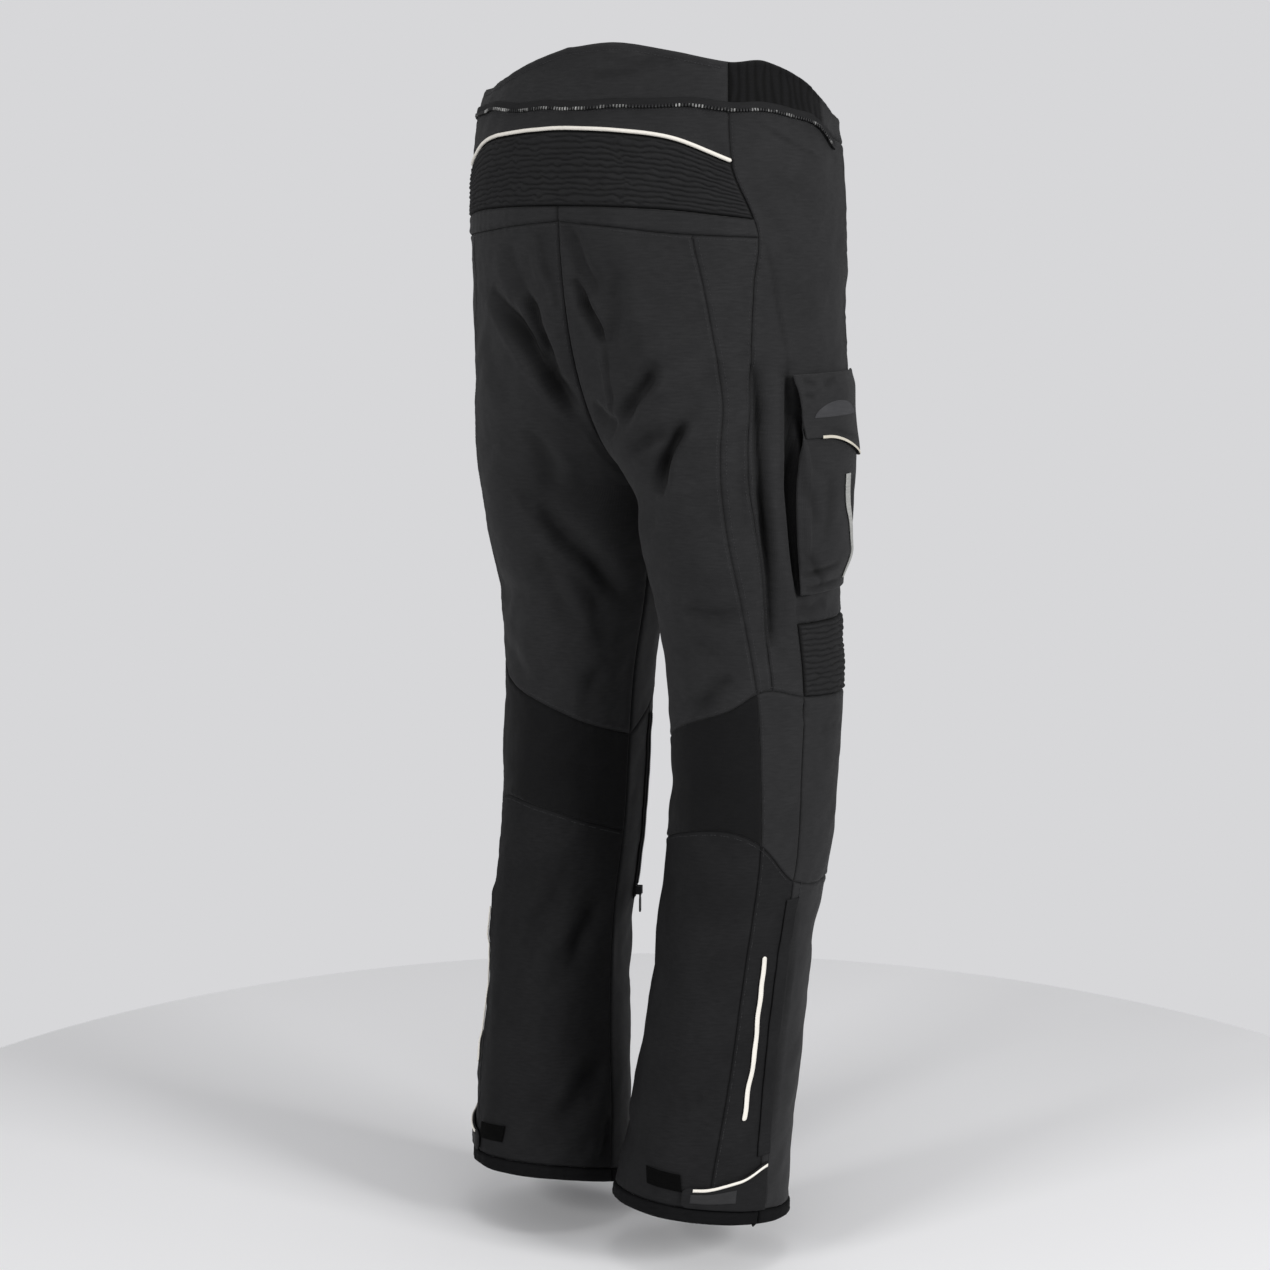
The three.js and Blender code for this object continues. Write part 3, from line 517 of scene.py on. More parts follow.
def cloth_sheet(name, across, down, place, material, thickness, flip, keep=None,
                bridges=False, replaces=None):
    """A sheet of cloth on a grid of lines. place gives each grid point's side, share, height, offset and
    own painted shade, and keep says which faces stay. Each point's painted shade is kept for its material."""
    grid = bmesh.new()
    bmesh.ops.create_grid(grid, x_segments=len(across) - 1, y_segments=len(down) - 1, size=0.5)
    flat = np.array([vertex.co[:2] for vertex in grid.verts]) + 0.5
    i = np.rint(flat[:, 0] * (len(across) - 1)).astype(int)
    j = np.rint((1 - flat[:, 1]) * (len(down) - 1)).astype(int)
    side, share, height, offset, own_painted_shade = place(across[i], down[j])
    points, painted_shade = cloth_shape(side, share, height, offset, bridges)
    points *= MM
    painted_shade = np.clip(painted_shade + own_painted_shade, 0, 1)
    if len(np.unique(side)) == 2:
        points[share < 1e-9, 0] = 0
    cut = cut_point(side, share, height) * MM
    cloth_uv = grid.loops.layers.uv.new("cloth")
    grid.verts.index_update()
    uv = np.stack([side * share * AROUND, height], -1) * MM
    gone, cut_area = [], 0.0
    for face in grid.faces:
        ring = [vertex.index for vertex in face.verts]
        if keep and not keep(across[i[ring]].mean(), down[j[ring]].mean()):
            gone.append(face)
            continue
        for loop in face.loops:
            loop[cloth_uv].uv = uv[loop.vert.index]
        diagonal_1, diagonal_2 = cut[ring[2]] - cut[ring[0]], cut[ring[3]] - cut[ring[1]]
        cut_area += np.linalg.norm(np.cross(diagonal_1, diagonal_2)) / 2
    cut_grid = np.zeros((len(down), len(across), 3))
    cut_grid[j, i] = cut
    # Each point keeps its painted shade, which the material uses to darken the colour.
    painted_shade_at = grid.verts.layers.float.new("painted_shade")
    for vertex, point, depth in zip(grid.verts, points, painted_shade):
        vertex.co = point
        vertex[painted_shade_at] = depth
    bmesh.ops.delete(grid, geom=gone, context="FACES")
    if flip:
        bmesh.ops.reverse_faces(grid, faces=grid.faces)
    mesh = bpy.data.meshes.new(name)
    grid.to_mesh(mesh)
    grid.free()
    piece = finish_piece(f"{name}_cloth", mesh, material, [name] if replaces is None else replaces)
    wall = piece.modifiers.new("wall", "SOLIDIFY")
    wall.thickness = thickness * MM
    wall.offset = -1
    wall.use_even_offset = False
    return piece


def grid_lines(stops, at, pitch, seams):
    """Lines between grid stops, about a pitch apart in mm, and closer beside the seams.
    at gives a stop in mm."""
    lines = [float(stops[0])]
    for low, high in zip(stops, stops[1:]):
        length = abs(at(high) - at(low))
        count = max(1, round(length / pitch))
        inner = {length * step / count for step in range(1, count)}
        close = [near for near in (0.8, 1.8, 3.2) if near < length / 2.2]
        if low in seams:
            inner = {place for place in inner if place > 4.5} | set(close)
        if high in seams:
            inner = {place for place in inner if place < length - 4.5} | {length - near for near in close}
        lines += [low + (high - low) * place / length for place in sorted(inner)] + [float(high)]
    return np.array(lines)


def sewn_panel(name, side, corners, material, pitch=3.0, row_pitch=None, rise=None, thickness=1.8,
               slit=0.0, valley=0.0):
    """A panel whose outline is given by named columns and rows of the grid of seams, as a thin shell.
    side is 0 for a panel that crosses the back seam, where a minus sign before a column's name puts it on
    the wearer's right. Its edges turn in at the seams and pucker a little, and get painted shade along them.
    rise is a function that lifts its face, and lifts under valley get painted shade."""
    corners = [(grid_column(c), row[r]) for c, r in corners]
    edges = list(zip(corners, corners[1:] + corners[:1]))
    left, right = min(c for c, _ in corners), max(c for c, _ in corners)
    top, bottom = min(r for _, r in corners), max(r for _, r in corners)

    def sides_at(columns):
        return np.where(columns < 0, -1.0, 1.0) if side == 0 else np.full(len(columns), float(side))

    def place_at(columns, rows):
        share, height = grid_place(sides_at(columns), np.abs(columns), rows)
        return share * np.where(columns < 0, -1, 1), height

    def inside(c, r):
        crossings = [c0 > c and min(r0, r1) < r < max(r0, r1) for (c0, r0), (c1, r1) in edges if c0 == c1]
        return sum(crossings) % 2 == 1

    def column_mm(c):
        return place_at(np.array([float(c)]), np.array([(top + bottom) / 2]))[0][0] * AROUND

    def row_mm(r):
        return place_at(np.array([(left + right) / 2]), np.array([float(r)]))[1][0]

    stops = {c for c, _ in corners}
    stops |= {c * sign for c in column.values() for sign in (1, -1) if left < c * sign < right}
    levels = {r for _, r in corners} | {r for r in row.values() if top < r < bottom}
    across = grid_lines(sorted(stops), column_mm, pitch, {c for c, _ in corners})
    down = grid_lines(sorted(levels), row_mm, row_pitch or pitch, {r for _, r in corners})

    def place(column_at, row_at):
        share, height = place_at(column_at, row_at)
        distance = np.full(len(share), 1e3)
        along = np.zeros(len(share))
        set_in = np.zeros(len(share))
        for (c0, r0), (c1, r1) in edges:
            near_c = np.clip(column_at, min(c0, c1), max(c0, c1))
            near_r = np.clip(row_at, min(r0, r1), max(r0, r1))
            near_share, near_height = place_at(near_c, near_r)
            gap = np.hypot((share - near_share) * AROUND, height - near_height)
            on_edge = gap < 1e-6
            if c0 == c1:
                inward = 1 if inside(c0 + 0.01, (r0 + r1) / 2) else -1
                on_middle = c0 in (0, column["end"])
                inset = 0 if on_middle and not slit else inward * (slit if c0 == right else 0) / AROUND
                set_in = np.where(on_edge, inset, set_in)
            along = np.where(gap < distance, height if c0 == c1 else share * AROUND, along)
            distance = np.minimum(gap, distance)
        share = share + set_in
        offset = 0.5 * np.exp(-((distance - 4) / 2.2) ** 2) - 1.1 * np.exp(-(distance / 1.2) ** 2)
        pucker = np.sin(along / 1.9 + 3 * soft_noise(along / 17, distance * 0))
        pucker = pucker * (0.6 + 0.4 * soft_noise(along / 40, distance * 0))
        offset = offset + 0.3 * pucker * np.exp(-((distance - 3.5) / 4) ** 2)
        # Painted shade along the seams.
        painted_shade = 0.35 * np.exp(-(distance / 1.1) ** 2)
        if rise:
            risen = rise(share * AROUND, (row_at - top) / (bottom - top), distance)
            offset = offset + risen
            # Painted shade where a lift falls below valley, such as between ribs.
            painted_shade = painted_shade + (0.85 * np.clip(1 - risen / valley, 0, 1) if valley else 0)
        return sides_at(column_at), np.clip(np.abs(share), 0, 1), height, offset, painted_shade

    keep = inside if len(corners) > 4 else None
    return cloth_sheet(name, across, down, place, material, thickness, side >= 0, keep)


def grid_column(stop):
    """The grid place of a column's name, or of a number, which stays as it is."""
    if not isinstance(stop, str):
        return stop
    return -column[stop[1:]] if stop[0] == "-" else column[stop]


def block(left, right, top, bottom):
    """The corners of a plain four-sided panel."""
    return [(left, top), (right, top), (right, bottom), (left, bottom)]


def mixed(material, factor, first, second):
    """A colour between two, each an sRGB hex colour or a colour output."""
    ends = {key: value if isinstance(value, bpy.types.NodeSocket) else (*linear(value), 1)
            for key, value in (("A", first), ("B", second))}
    return add_node(material, "ShaderNodeMix", {"Factor": factor, **ends}, data_type="RGBA").outputs["Result"]


def maths(material, operation, first, second, clamp=False):
    """A number worked out from two."""
    node = add_node(material, "ShaderNodeMath", {0: first, 1: second}, operation=operation, use_clamp=clamp)
    return node.outputs[0]


def weave(material, shader, thread_mm, depth, base_hex, fade_hex):
    """A plain weave of slubby yarn on the cloth's own UV map, faintly faded, and with painted shade that
    takes its colour nearly black in creases, seams and hollows.
    """
    uv = add_node(material, "ShaderNodeUVMap", uv_map="cloth").outputs["UV"]
    waves = {"Vector": uv, "Scale": 2 * math.pi / 20 / (thread_mm * MM), "Distortion": 0.6}
    warp = add_node(material, "ShaderNodeTexWave", waves, bands_direction="X").outputs["Fac"]
    weft = add_node(material, "ShaderNodeTexWave", waves, bands_direction="Y").outputs["Fac"]
    slub_map = add_node(material, "ShaderNodeMapping", {"Vector": uv, "Scale": (90.0, 520.0, 1.0)})
    slub_inputs = {"Vector": slub_map.outputs[0], "Scale": 1.0, "Detail": 3.0}
    slub = add_node(material, "ShaderNodeTexNoise", slub_inputs).outputs["Fac"]
    relief = maths(material, "ADD", maths(material, "MAXIMUM", warp, weft), slub)
    bump = add_node(material, "ShaderNodeBump", {"Height": relief, "Distance": depth * MM, "Strength": 0.7})
    cloud_inputs = {"Vector": uv, "Scale": 16.0, "Detail": 6.0, "Roughness": 0.65}
    cloud = add_node(material, "ShaderNodeTexNoise", cloud_inputs).outputs["Fac"]
    fading = maths(material, "MULTIPLY", maths(material, "MULTIPLY", cloud, slub), 2.2, True)
    painted_shade = add_node(material, "ShaderNodeAttribute", attribute_name="painted_shade").outputs["Fac"]
    # Painted shade: the colour is mixed towards near black by the painted_shade attribute.
    tone = mixed(material, painted_shade, mixed(material, fading, base_hex, fade_hex), "#020202")
    material.node_tree.links.new(tone, shader.inputs["Base Color"])
    material.node_tree.links.new(bump.outputs["Normal"], shader.inputs["Normal"])


# Matt and nearly black, with the yarns drawn about twice as coarse as they are, and a faint sheen.
shell_cloth, shell_shader = new_material("plain-woven charcoal nylon", 0.66, 0.14)
weave(shell_cloth, shell_shader, 1.1, 0.25, "#19191a", "#29292a")
shell_shader.inputs["Sheen Weight"].default_value = 0.05
shell_shader.inputs["Sheen Roughness"].default_value = 0.5

SIDES = (("left", 1), ("right", -1))
for word, side in SIDES:
    sewn_panel(f"seat_{word}", side, block("centre", "back", "band", "kneeTop"), shell_cloth,
               pitch=2.5)

# Pleat panels: narrow strips of the same cloth between the seat and the side panels.
# Each is sewn with a deep pleat along its outer seam.
for word, side in SIDES:
    sewn_panel(f"pleat_{word}", side, block("back", "pleat", "band", "kneeTop"), shell_cloth,
               pitch=2.0)

# Side panels: the same cloth from the waist to the knee, cut away in front for the ribbed insert.
# They are sewn to the pleat panels behind and to the fronts of the thighs.
for word, side in SIDES:
    side_corners = [("pleat", "zip"), ("front", "zip"), ("front", "sideRib"), ("side", "sideRib"),
                    ("side", "kneeTop"), ("pleat", "kneeTop")]
    sewn_panel(f"side_{word}", side, side_corners, shell_cloth, pitch=2.5)

# Fronts of the thighs: the same cloth from the waist to the knees, with one piece on each side.
# They are joined at the front seam, under the fly.
for word, side in SIDES:
    sewn_panel(f"front_{word}", side, block("front", "end", "zip", "kneeTop"), shell_cloth,
               pitch=4.0)

# Waist: a raised back panel, a gathered elastic insert in stretch knit and a front band on each side.
# Its top edge is bound, so it swells there.
# The knit is duller and blacker than the shell cloth, with loops drawn coarser than they are.
knit_cloth, knit_shader = new_material("matt black stretch knit", 0.85, 0.12)
weave(knit_cloth, knit_shader, 1.4, 0.2, "#0b0b0c", "#131314")
knit_shader.inputs["Sheen Weight"].default_value = 0.05
ELASTIC_END = column["side"] + 2


def bound_top(along, v, distance):
    """The swelling of a bound top edge."""
    return 0.9 * np.exp(-((v - 0.06) / 0.05) ** 2)


def gathers(along, v, distance):
    """Gathers of the elastic, strongest along its top edge."""
    wave = 1 + np.sin(along / 1.5 + 2 * soft_noise(along / 9, v * 2))
    return (0.12 + 0.8 * np.exp(-v / 0.1)) * wave * ease(distance, 0, 3)


sewn_panel("waist_back", 0, block("-pleat", "pleat", "top", "zip"), shell_cloth,
           rise=bound_top)
for word, side in SIDES:
    # The hollows between the gathers get painted shade.
    sewn_panel(f"waist_stretch_{word}", side, block("pleat", ELASTIC_END, "top", "zip"), knit_cloth,
               pitch=1.6, rise=gathers, valley=0.2)
    sewn_panel(f"waist_front_{word}", side, block(ELASTIC_END, "end", "top", "zip"), shell_cloth,
               rise=bound_top)

# Back yoke and the plain band, above and below the ribbed panel, in shell cloth.
# A seam runs down the middle of the band.
def centre_seam(along, v, distance):
    """The groove of the band's middle seam."""
    return 0.8 * (1 - np.exp(-(along / 1.5) ** 2))


sewn_panel("yoke_back", 0, block("-pleat", "pleat", "zip", "piping"), shell_cloth, pitch=2.5)
# The groove of the middle seam gets painted shade.
sewn_panel("band_back", 0, block("-pleat", "pleat", "ribs", "band"), shell_cloth, pitch=2.0,
           rise=centre_seam, valley=0.7)

# Ribbed stretch panels across the back and above the knees: a black knit in which rows of elastic raise
# 13 puckered ribs. Knit of a finer gauge, a little lighter than the knees', so that its ribs show.
RIB_COUNT = 13
RIB_KINKS = ((-62, 0.5), (-28, 0.25), (20, 0.4), (47, -0.45), (72, 0.35))
rib_cloth, rib_shader = new_material("ribbed black stretch knit", 0.75, 0.2)
weave(rib_cloth, rib_shader, 1.0, 0.2, "#151516", "#212122")


def ribs(along, v, distance):
    """Wavy ribs, each a little uneven along its length, with a few kinks across them."""
    drift = 0.24 * soft_noise(along / 19, v * 5) + 0.22 * soft_noise(along / 6, v * RIB_COUNT)
    for kink, size in RIB_KINKS:
        drift += size * np.exp(-((along - kink - 5 * np.sin(7 * v)) / 3) ** 2) * np.sin(11 * v + kink)
    phase = v * RIB_COUNT + drift * ease(v, 0, 0.06) * ease(1 - v, 0, 0.06)
    swell = 0.85 + 0.15 * soft_noise(along / 5, np.floor(phase) * 3.7)
    return 2.2 * swell * np.abs(np.sin(np.pi * phase)) ** 0.6 * ease(distance, 0, 4)


# The valleys between the ribs get painted shade, here and in the ribbed panels above the knees.
sewn_panel("ribs_back", 0, block("-pleat", "pleat", "piping", "ribs"), rib_cloth,
           pitch=2.0, row_pitch=0.8, rise=ribs, valley=1.5)
for word, side in SIDES:
    sewn_panel(f"side_ribs_{word}", side, block("side", "front", "sideRib", "kneeTop"), rib_cloth,
               pitch=2.2, row_pitch=0.9, rise=ribs, valley=1.5)

# Knees: a stretch panel behind, plain cloth beside it and a cap of plain cloth in front.
# Their upper and lower seams bow across the leg.
for word, side in SIDES:
    sewn_panel(f"knee_back_{word}", side, block("centre", "back", "kneeTop", "kneeBottom"), knit_cloth)
    sewn_panel(f"knee_side_{word}", side, block("back", "side", "kneeTop", "kneeBottom"), shell_cloth)
    sewn_panel(f"knee_front_{word}", side, block("side", "knee", "kneeTop", "kneeBottom"), shell_cloth,
               pitch=4.0)

# Lower legs: the back and outer side of the calf, and the shin with its narrow strip inside the knee.
# The calves' cloth is the shell's cloth painted darker, as painted shade for the lower legs, which get less
# light.
shaded_calf_cloth, shaded_calf_shader = new_material("plain-woven charcoal nylon, darkened as painted shade", 0.7, 0.1)
weave(shaded_calf_cloth, shaded_calf_shader, 1.1, 0.25, "#131314", "#202021")
for word, side in SIDES:
    sewn_panel(f"calf_back_{word}", side, block("centre", "back", "kneeBottom", "binding"), shaded_calf_cloth)
    sewn_panel(f"calf_side_{word}", side, block("back", "side", "kneeBottom", "binding"), shaded_calf_cloth)
    shin_corners = [("knee", "kneeTop"), ("end", "kneeTop"), ("end", "binding"), ("side", "binding"),
                    ("side", "kneeBottom"), ("knee", "kneeBottom")]
    sewn_panel(f"shin_{word}", side, shin_corners, shell_cloth, pitch=4.0)

# Hem bindings: a ribbed black tape folded over the cloth's lower edge, open at the slit beside the side seam.
# The tape is dull and blacker than the cloth.
binding_tape, binding_shader = new_material("ribbed black binding tape", 0.8, 0.05)
weave(binding_tape, binding_shader, 0.9, 0.25, "#0e0e0f", "#171718")
HEM_SLIT = 6.0


def bound_hem(along, v, distance):
    """The round fold of a binding."""
    return (1.2 + 0.4 * np.sin(np.pi * v) + 0.12 * np.sin(along / 2.2)) * ease(distance, 0, 2)


for word, side in SIDES:
    sewn_panel(f"hem_back_{word}", side, block("centre", "side", "binding", "hem"), binding_tape,
               pitch=2.2, row_pitch=1.6, rise=bound_hem, thickness=2.4, slit=HEM_SLIT)
    sewn_panel(f"hem_front_{word}", side, block("side", "end", "binding", "hem"), binding_tape,
               pitch=3.5, row_pitch=2.0, rise=bound_hem, thickness=2.4)

# White reflective piping over the ribbed panel: a cord wrapped in glossy off-white tape, sewn into the seam.
# Its shares run from the wearer's right, where they are negative, to the left.
PIPING_REACH = 0.3
PIPING_STEPS = 260
PIPING_LENGTH = 330


def round_cord(name, share, height, offset, radius, material, replaces, around):
    """A round cord on the cloth, given its signed shares, heights, offsets and radii along the way."""
    cord = bmesh.new()
    made = bmesh.ops.create_grid(cord, x_segments=len(share) - 1, y_segments=around, size=0.5)
    flat = np.array([vertex.co[:2] for vertex in made["verts"]]) + 0.5
    i = np.rint(flat[:, 0] * (len(share) - 1)).astype(int)
    angle = 2 * np.pi * flat[:, 1]
    side = np.where(share < 0, -1.0, 1.0)
    centre = cloth_point(side, np.abs(share), height, offset)
    along = np.gradient(centre, axis=0)
    along /= np.linalg.norm(along, axis=1)[:, None]
    out = outward(side, np.abs(share), height)
    out -= along * (out * along).sum(1)[:, None]
    out /= np.linalg.norm(out, axis=1)[:, None]
    across = np.cross(out, along)
    ring = np.cos(angle)[:, None] * across[i] + np.sin(angle)[:, None] * out[i]
    for vertex, point in zip(made["verts"], (centre[i] + radius[i, None] * ring) * MM):
        vertex.co = point
    bmesh.ops.remove_doubles(cord, verts=cord.verts, dist=0.00001)
    bmesh.ops.recalc_face_normals(cord, faces=cord.faces)
    mesh = bpy.data.meshes.new(name)
    cord.to_mesh(mesh)
    cord.free()
    return finish_piece(name, mesh, material, replaces)


def round_ends(u, length, radius):
    """A radius along a cord that closes in a round end."""
    end = np.minimum(u, 1 - u) * length
    return radius * np.sqrt(np.clip(1 - (1 - np.clip(end / radius, 0, 1)) ** 2, 0.0004, 1))


def object_noise(material, **inputs):
    """Uneven values fixed to the piece's own place."""
    place = add_node(material, "ShaderNodeTexCoord").outputs["Object"]
    return add_node(material, "ShaderNodeTexNoise", {"Vector": place, **inputs}).outputs["Fac"]


# The tape is the brightest thing on the garment, with a fine grain of glass beads.
reflective, reflective_shader = new_material("off-white reflective tape", 0.42, 0.5)
beads = object_noise(reflective, Scale=900.0, Detail=2.0)
reflective.node_tree.links.new(mixed(reflective, beads, "#dcd7cd", "#f2eee6"),
                               reflective_shader.inputs["Base Color"])
bead_bump = add_node(reflective, "ShaderNodeBump", {"Height": beads, "Distance": 0.1 * MM, "Strength": 0.5})
reflective.node_tree.links.new(bead_bump.outputs["Normal"], reflective_shader.inputs["Normal"])

u = np.linspace(0, 1, PIPING_STEPS)
share = -PIPING_REACH + 2 * PIPING_REACH * u
level = smooth_table(LEVELS, np.abs(share))["piping"] + 2.0
round_cord("piping_back_cord", share, level, np.full(PIPING_STEPS, 1.3), round_ends(u, PIPING_LENGTH, 1.9),
           reflective, ["piping_back"], 12)

# Zip half that joins the trousers to a jacket: a woven tape along the foot of the waist, with moulded teeth
# on its edge. The tape gapes and waves a little between its stitches.
ZIP_REACH = 0.57
ZIP_WIDTH = 9
ZIP_GAPE = 31
ZIP_TEETH = 205


def laid_piece(name, side, patch, size, material, pitch, thickness, rise=1.0, bridges=False,
               replaces=None, wrinkles=()):
    """A piece that lies on the panels. patch turns two arrays from 0 to 1 into shares and heights, and rise
    may be a function of share, height, u and v. Its edges are rounded down, and wrinkles are its creases,
    which dent it and get painted shade."""
    width, length = size

    def lines(total):
        count = max(2, round(total / pitch))
        even = {step / count for step in range(count + 1)}
        return np.array(sorted(even | {0.5 / total, 1.3 / total, 1 - 0.5 / total, 1 - 1.3 / total}))

    def place(u, v):
        share, height = patch(u, v)
        edge = np.minimum(np.minimum(u, 1 - u) * width, np.minimum(v, 1 - v) * length)
        lift = rise(share, height, u, v) if callable(rise) else rise
        offset = lift + thickness - 0.5 * thickness * np.exp(-(edge / 0.7) ** 2)
        dent = np.zeros(len(share))
        for *line, reach, depth in wrinkles:
            distance, at = along_line(share, height, line)
            dent += depth * np.sqrt(np.sin(np.pi * at)) * np.exp(-(distance / reach) ** 2)
        own_side = side * np.where(share < 0, -1.0, 1.0)
        # The wrinkles' dents carry painted shade.
        return own_side, np.abs(share), height, offset - dent, np.clip(dent / 4, 0, 1)

    return cloth_sheet(name, lines(width), lines(length), place, material, thickness, side > 0,
                       None, bridges, replaces)


def zip_height(share, below):
    """The height of the zip's tape, at a distance below its upper edge."""
    away = np.abs(share)
    return (levels_at(-1, away)["zip"] - 8 * ease(away, 0.47, ZIP_REACH) + ZIP_WIDTH / 2 - below
            + 0.8 * np.sin(share * 47) * ease(ZIP_REACH - away, 0, 0.05))


def zip_patch(u, v):
    """The jacket zip's tape."""
    share = -ZIP_REACH + 2 * ZIP_REACH * u
    return share, zip_height(share, ZIP_WIDTH * v)


# The tape is plain and black; the teeth are dark grey, with painted glints here and there, patches of light
# grey painted into their colour.
zip_tape, zip_tape_shader = new_material("woven zip tape", 0.75, 0.2)
weave(zip_tape, zip_tape_shader, 0.8, 0.15, "#111112", "#1b1b1c")
laid_piece("connection_zip", 1, zip_patch, (604, ZIP_WIDTH), zip_tape, 2.2, 1.4,
           lambda share, height, u, v: 1.0 + 1.4 * v * np.maximum(0, np.sin(u * ZIP_GAPE)) ** 2)
moulded, moulded_shader = new_material("grey moulded zip teeth", 0.45, 0.3)
# Painted glints: where this noise is high the teeth's base colour goes light grey.
glint_noise = object_noise(moulded, Scale=55.0, Detail=3.0, Roughness=0.7)
glint_range = {"Value": glint_noise, "From Min": 0.5, "From Max": 0.68}
painted_tooth_glint = add_node(moulded, "ShaderNodeMapRange", glint_range).outputs[0]
moulded.node_tree.links.new(mixed(moulded, painted_tooth_glint, "#1b1b1c", "#b4b4b2"),
                            moulded_shader.inputs["Base Color"])


def small_blocks(name, runs, size, material, bevel_mm=0.0):
    """Small blocks in rows along the cloth, such as teeth. A run gives signed shares, heights and offset."""
    blocks = bmesh.new()
    for share, height, offset in runs:
        side = np.where(share < 0, -1.0, 1.0)
        centre = cloth_point(side, np.abs(share), height, offset)
        along = np.gradient(centre, axis=0)
        out = outward(side, np.abs(share), height)
        for place, forward, away in zip(centre, along, out):
            x_axis = Vector(forward).normalized()
            z_axis = Vector(away - x_axis * x_axis.dot(Vector(away))).normalized()
            axes = (x_axis * size[0], z_axis.cross(x_axis) * size[1], z_axis * size[2])
            turned = (Matrix(axes).transposed() * MM).to_4x4()
            bmesh.ops.create_cube(blocks, size=1, matrix=Matrix.Translation(Vector(place) * MM) @ turned)
    mesh = bpy.data.meshes.new(name)
    blocks.to_mesh(mesh)
    blocks.free()
    piece = finish_piece(name, mesh, material, ())
    if bevel_mm:
        bevel = piece.modifiers.new("bevel", "BEVEL")
        bevel.width = bevel_mm * MM
        bevel.segments = 1
    return piece


tooth_share = np.linspace(-ZIP_REACH + 0.005, ZIP_REACH - 0.005, ZIP_TEETH)
gape = 1.2 * np.maximum(0, np.sin((tooth_share + ZIP_REACH) / (2 * ZIP_REACH) * ZIP_GAPE)) ** 2
small_blocks("connection_zip_teeth", [(tooth_share, zip_height(tooth_share, ZIP_WIDTH * 0.86), 2.6 + gape)],
             (1.5, 3.0, 1.5), moulded, 0.22)

# Fly: a placket of the shell cloth over the front seam's left side.
# It is closed at the waist by a burnished press stud.
def fly_patch(u, v):
    """The fly, with its lower end cut slanting."""
    return 0.935 + 0.0635 * u, -52 - 163 * v + 16 * ease(v, 0.8, 1) * (1 - u)


laid_piece("fly", 1, fly_patch, (34, 163), shell_cloth, 2.5, 1.8)

# Small metal parts: the press stud, and the sliders and pull tabs of the knee zips. They are die-cast, and
# their shapes are the solids' own. The finish is burnished nearly black, and lighter where it is rubbed.
dark_metal, dark_metal_shader = new_material("burnished black metal", 0.42, 0.4, 0.7)
rubbed = object_noise(dark_metal, Scale=260.0, Detail=4.0)
dark_metal.node_tree.links.new(mixed(dark_metal, rubbed, "#0b0b0c", "#2a2a2c"),
                               dark_metal_shader.inputs["Base Color"])
for name in ("waist_stud", "zip_slider_left", "zip_slider_right", "zip_pull_left", "zip_pull_right"):
    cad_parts[name].material_slots[0].material = dark_metal

# Cargo pockets: a pleated bag of shell cloth on each side panel, and its flap with a light bound edge and a
# grey half-moon of reinforcing cloth. A silver reflective stripe is sewn down the bag.
POCKET_BACK = 0.45
POCKET_FRONT = 0.645
POCKET_TOP = -312
POCKET_FOOT = -498
FLAP_TOP = -284
# Wrinkles: share, height, end share, end height, bow, reach, depth
BAG_WRINKLES = (
    (0.452, -478, 0.53, -470, 0.004, 4, 2.6),
    (0.46, -455, 0.50, -490, 0, 3.5, 2.2),
    (0.58, -440, 0.6, -494, 0, 4, 2.6),
    (0.455, -380, 0.478, -430, 0.004, 5, 1.8),
    (0.5, -376, 0.49, -450, 0.01, 6, 1.4),
    (0.567, -385, 0.573, -470, 0.01, 4, 2.6),
    (0.458, -492, 0.56, -488, 0, 3, 2.4),
)
FLAP_WRINKLES = (
    (0.44, -290, 0.475, -294, 0, 3, 1.6),
    (0.49, -296, 0.53, -290, 0, 3.5, 1.6),
    (0.44, -303, 0.47, -306, 0, 2.5, 1.3),
    (0.5, -338, 0.6, -352, 0, 3, 1.4),
)


def bag_rise(share, height, u, v):
    """The lift of the pocket's full bag."""
    part = np.clip((share - POCKET_BACK) / (POCKET_FRONT - POCKET_BACK), 0, 1)
    full = 10 * np.sqrt(np.sin(np.pi * part)) * ease(-height, -POCKET_TOP, 60 - POCKET_TOP)
    full = full * (1 - ease(-height, -POCKET_FOOT - 40, -POCKET_FOOT))
    return 1.0 + 1.6 * (1 - ease(share, 0.44, 0.52)) + full


def bag_patch(u, v):
    """The bag."""
    return POCKET_BACK + (POCKET_FRONT - POCKET_BACK) * u, POCKET_TOP + (POCKET_FOOT - POCKET_TOP) * v


def flap_rise(share, height, u, v):
    """The lift of the flap over the bag."""
    return bag_rise(share, height, u, v) + 3.4 * ease(-height, -FLAP_TOP, 18 - FLAP_TOP)


def flap_patch(u, v):
    """The flap, cut longer towards the front."""
    back = POCKET_BACK - 0.026 + 0.03 * v
    lower = -345 - 24 * ease(u, 0.2, 0.9)
    return back + (POCKET_FRONT + 0.01 - back) * u, FLAP_TOP + (lower - FLAP_TOP) * v


def flap_edge_patch(u, v):
    """The light bound edge along most of the flap's lower edge."""
    share, height = flap_patch(0.15 + 0.85 * u, np.ones(len(u)))
    return share, height + 2.2 - 2.8 * v


def half_moon_patch(u, v):
    """The grey half-moon."""
    upper = -326 + 15 * np.sqrt(np.clip(np.sin(np.pi * u), 0, 1))
    return 0.468 + 0.13 * u, upper + (-326 - upper) * v


def pocket_stripe_patch(u, v):
    """The silver stripe, which tapers at its foot and follows the bag's front."""
    middle = 0.546 + 0.028 * ease(v, 0.15, 0.75) - 0.01 * ease(v, 0.75, 1)
    return middle + (8 - 4 * ease(v, 0.8, 1)) / AROUND * (u - 0.5), -382 - 106 * v


def raised(rise, lift):
    """A rise with more lift."""
    return lambda share, height, u, v: rise(share, height, u, v) + lift


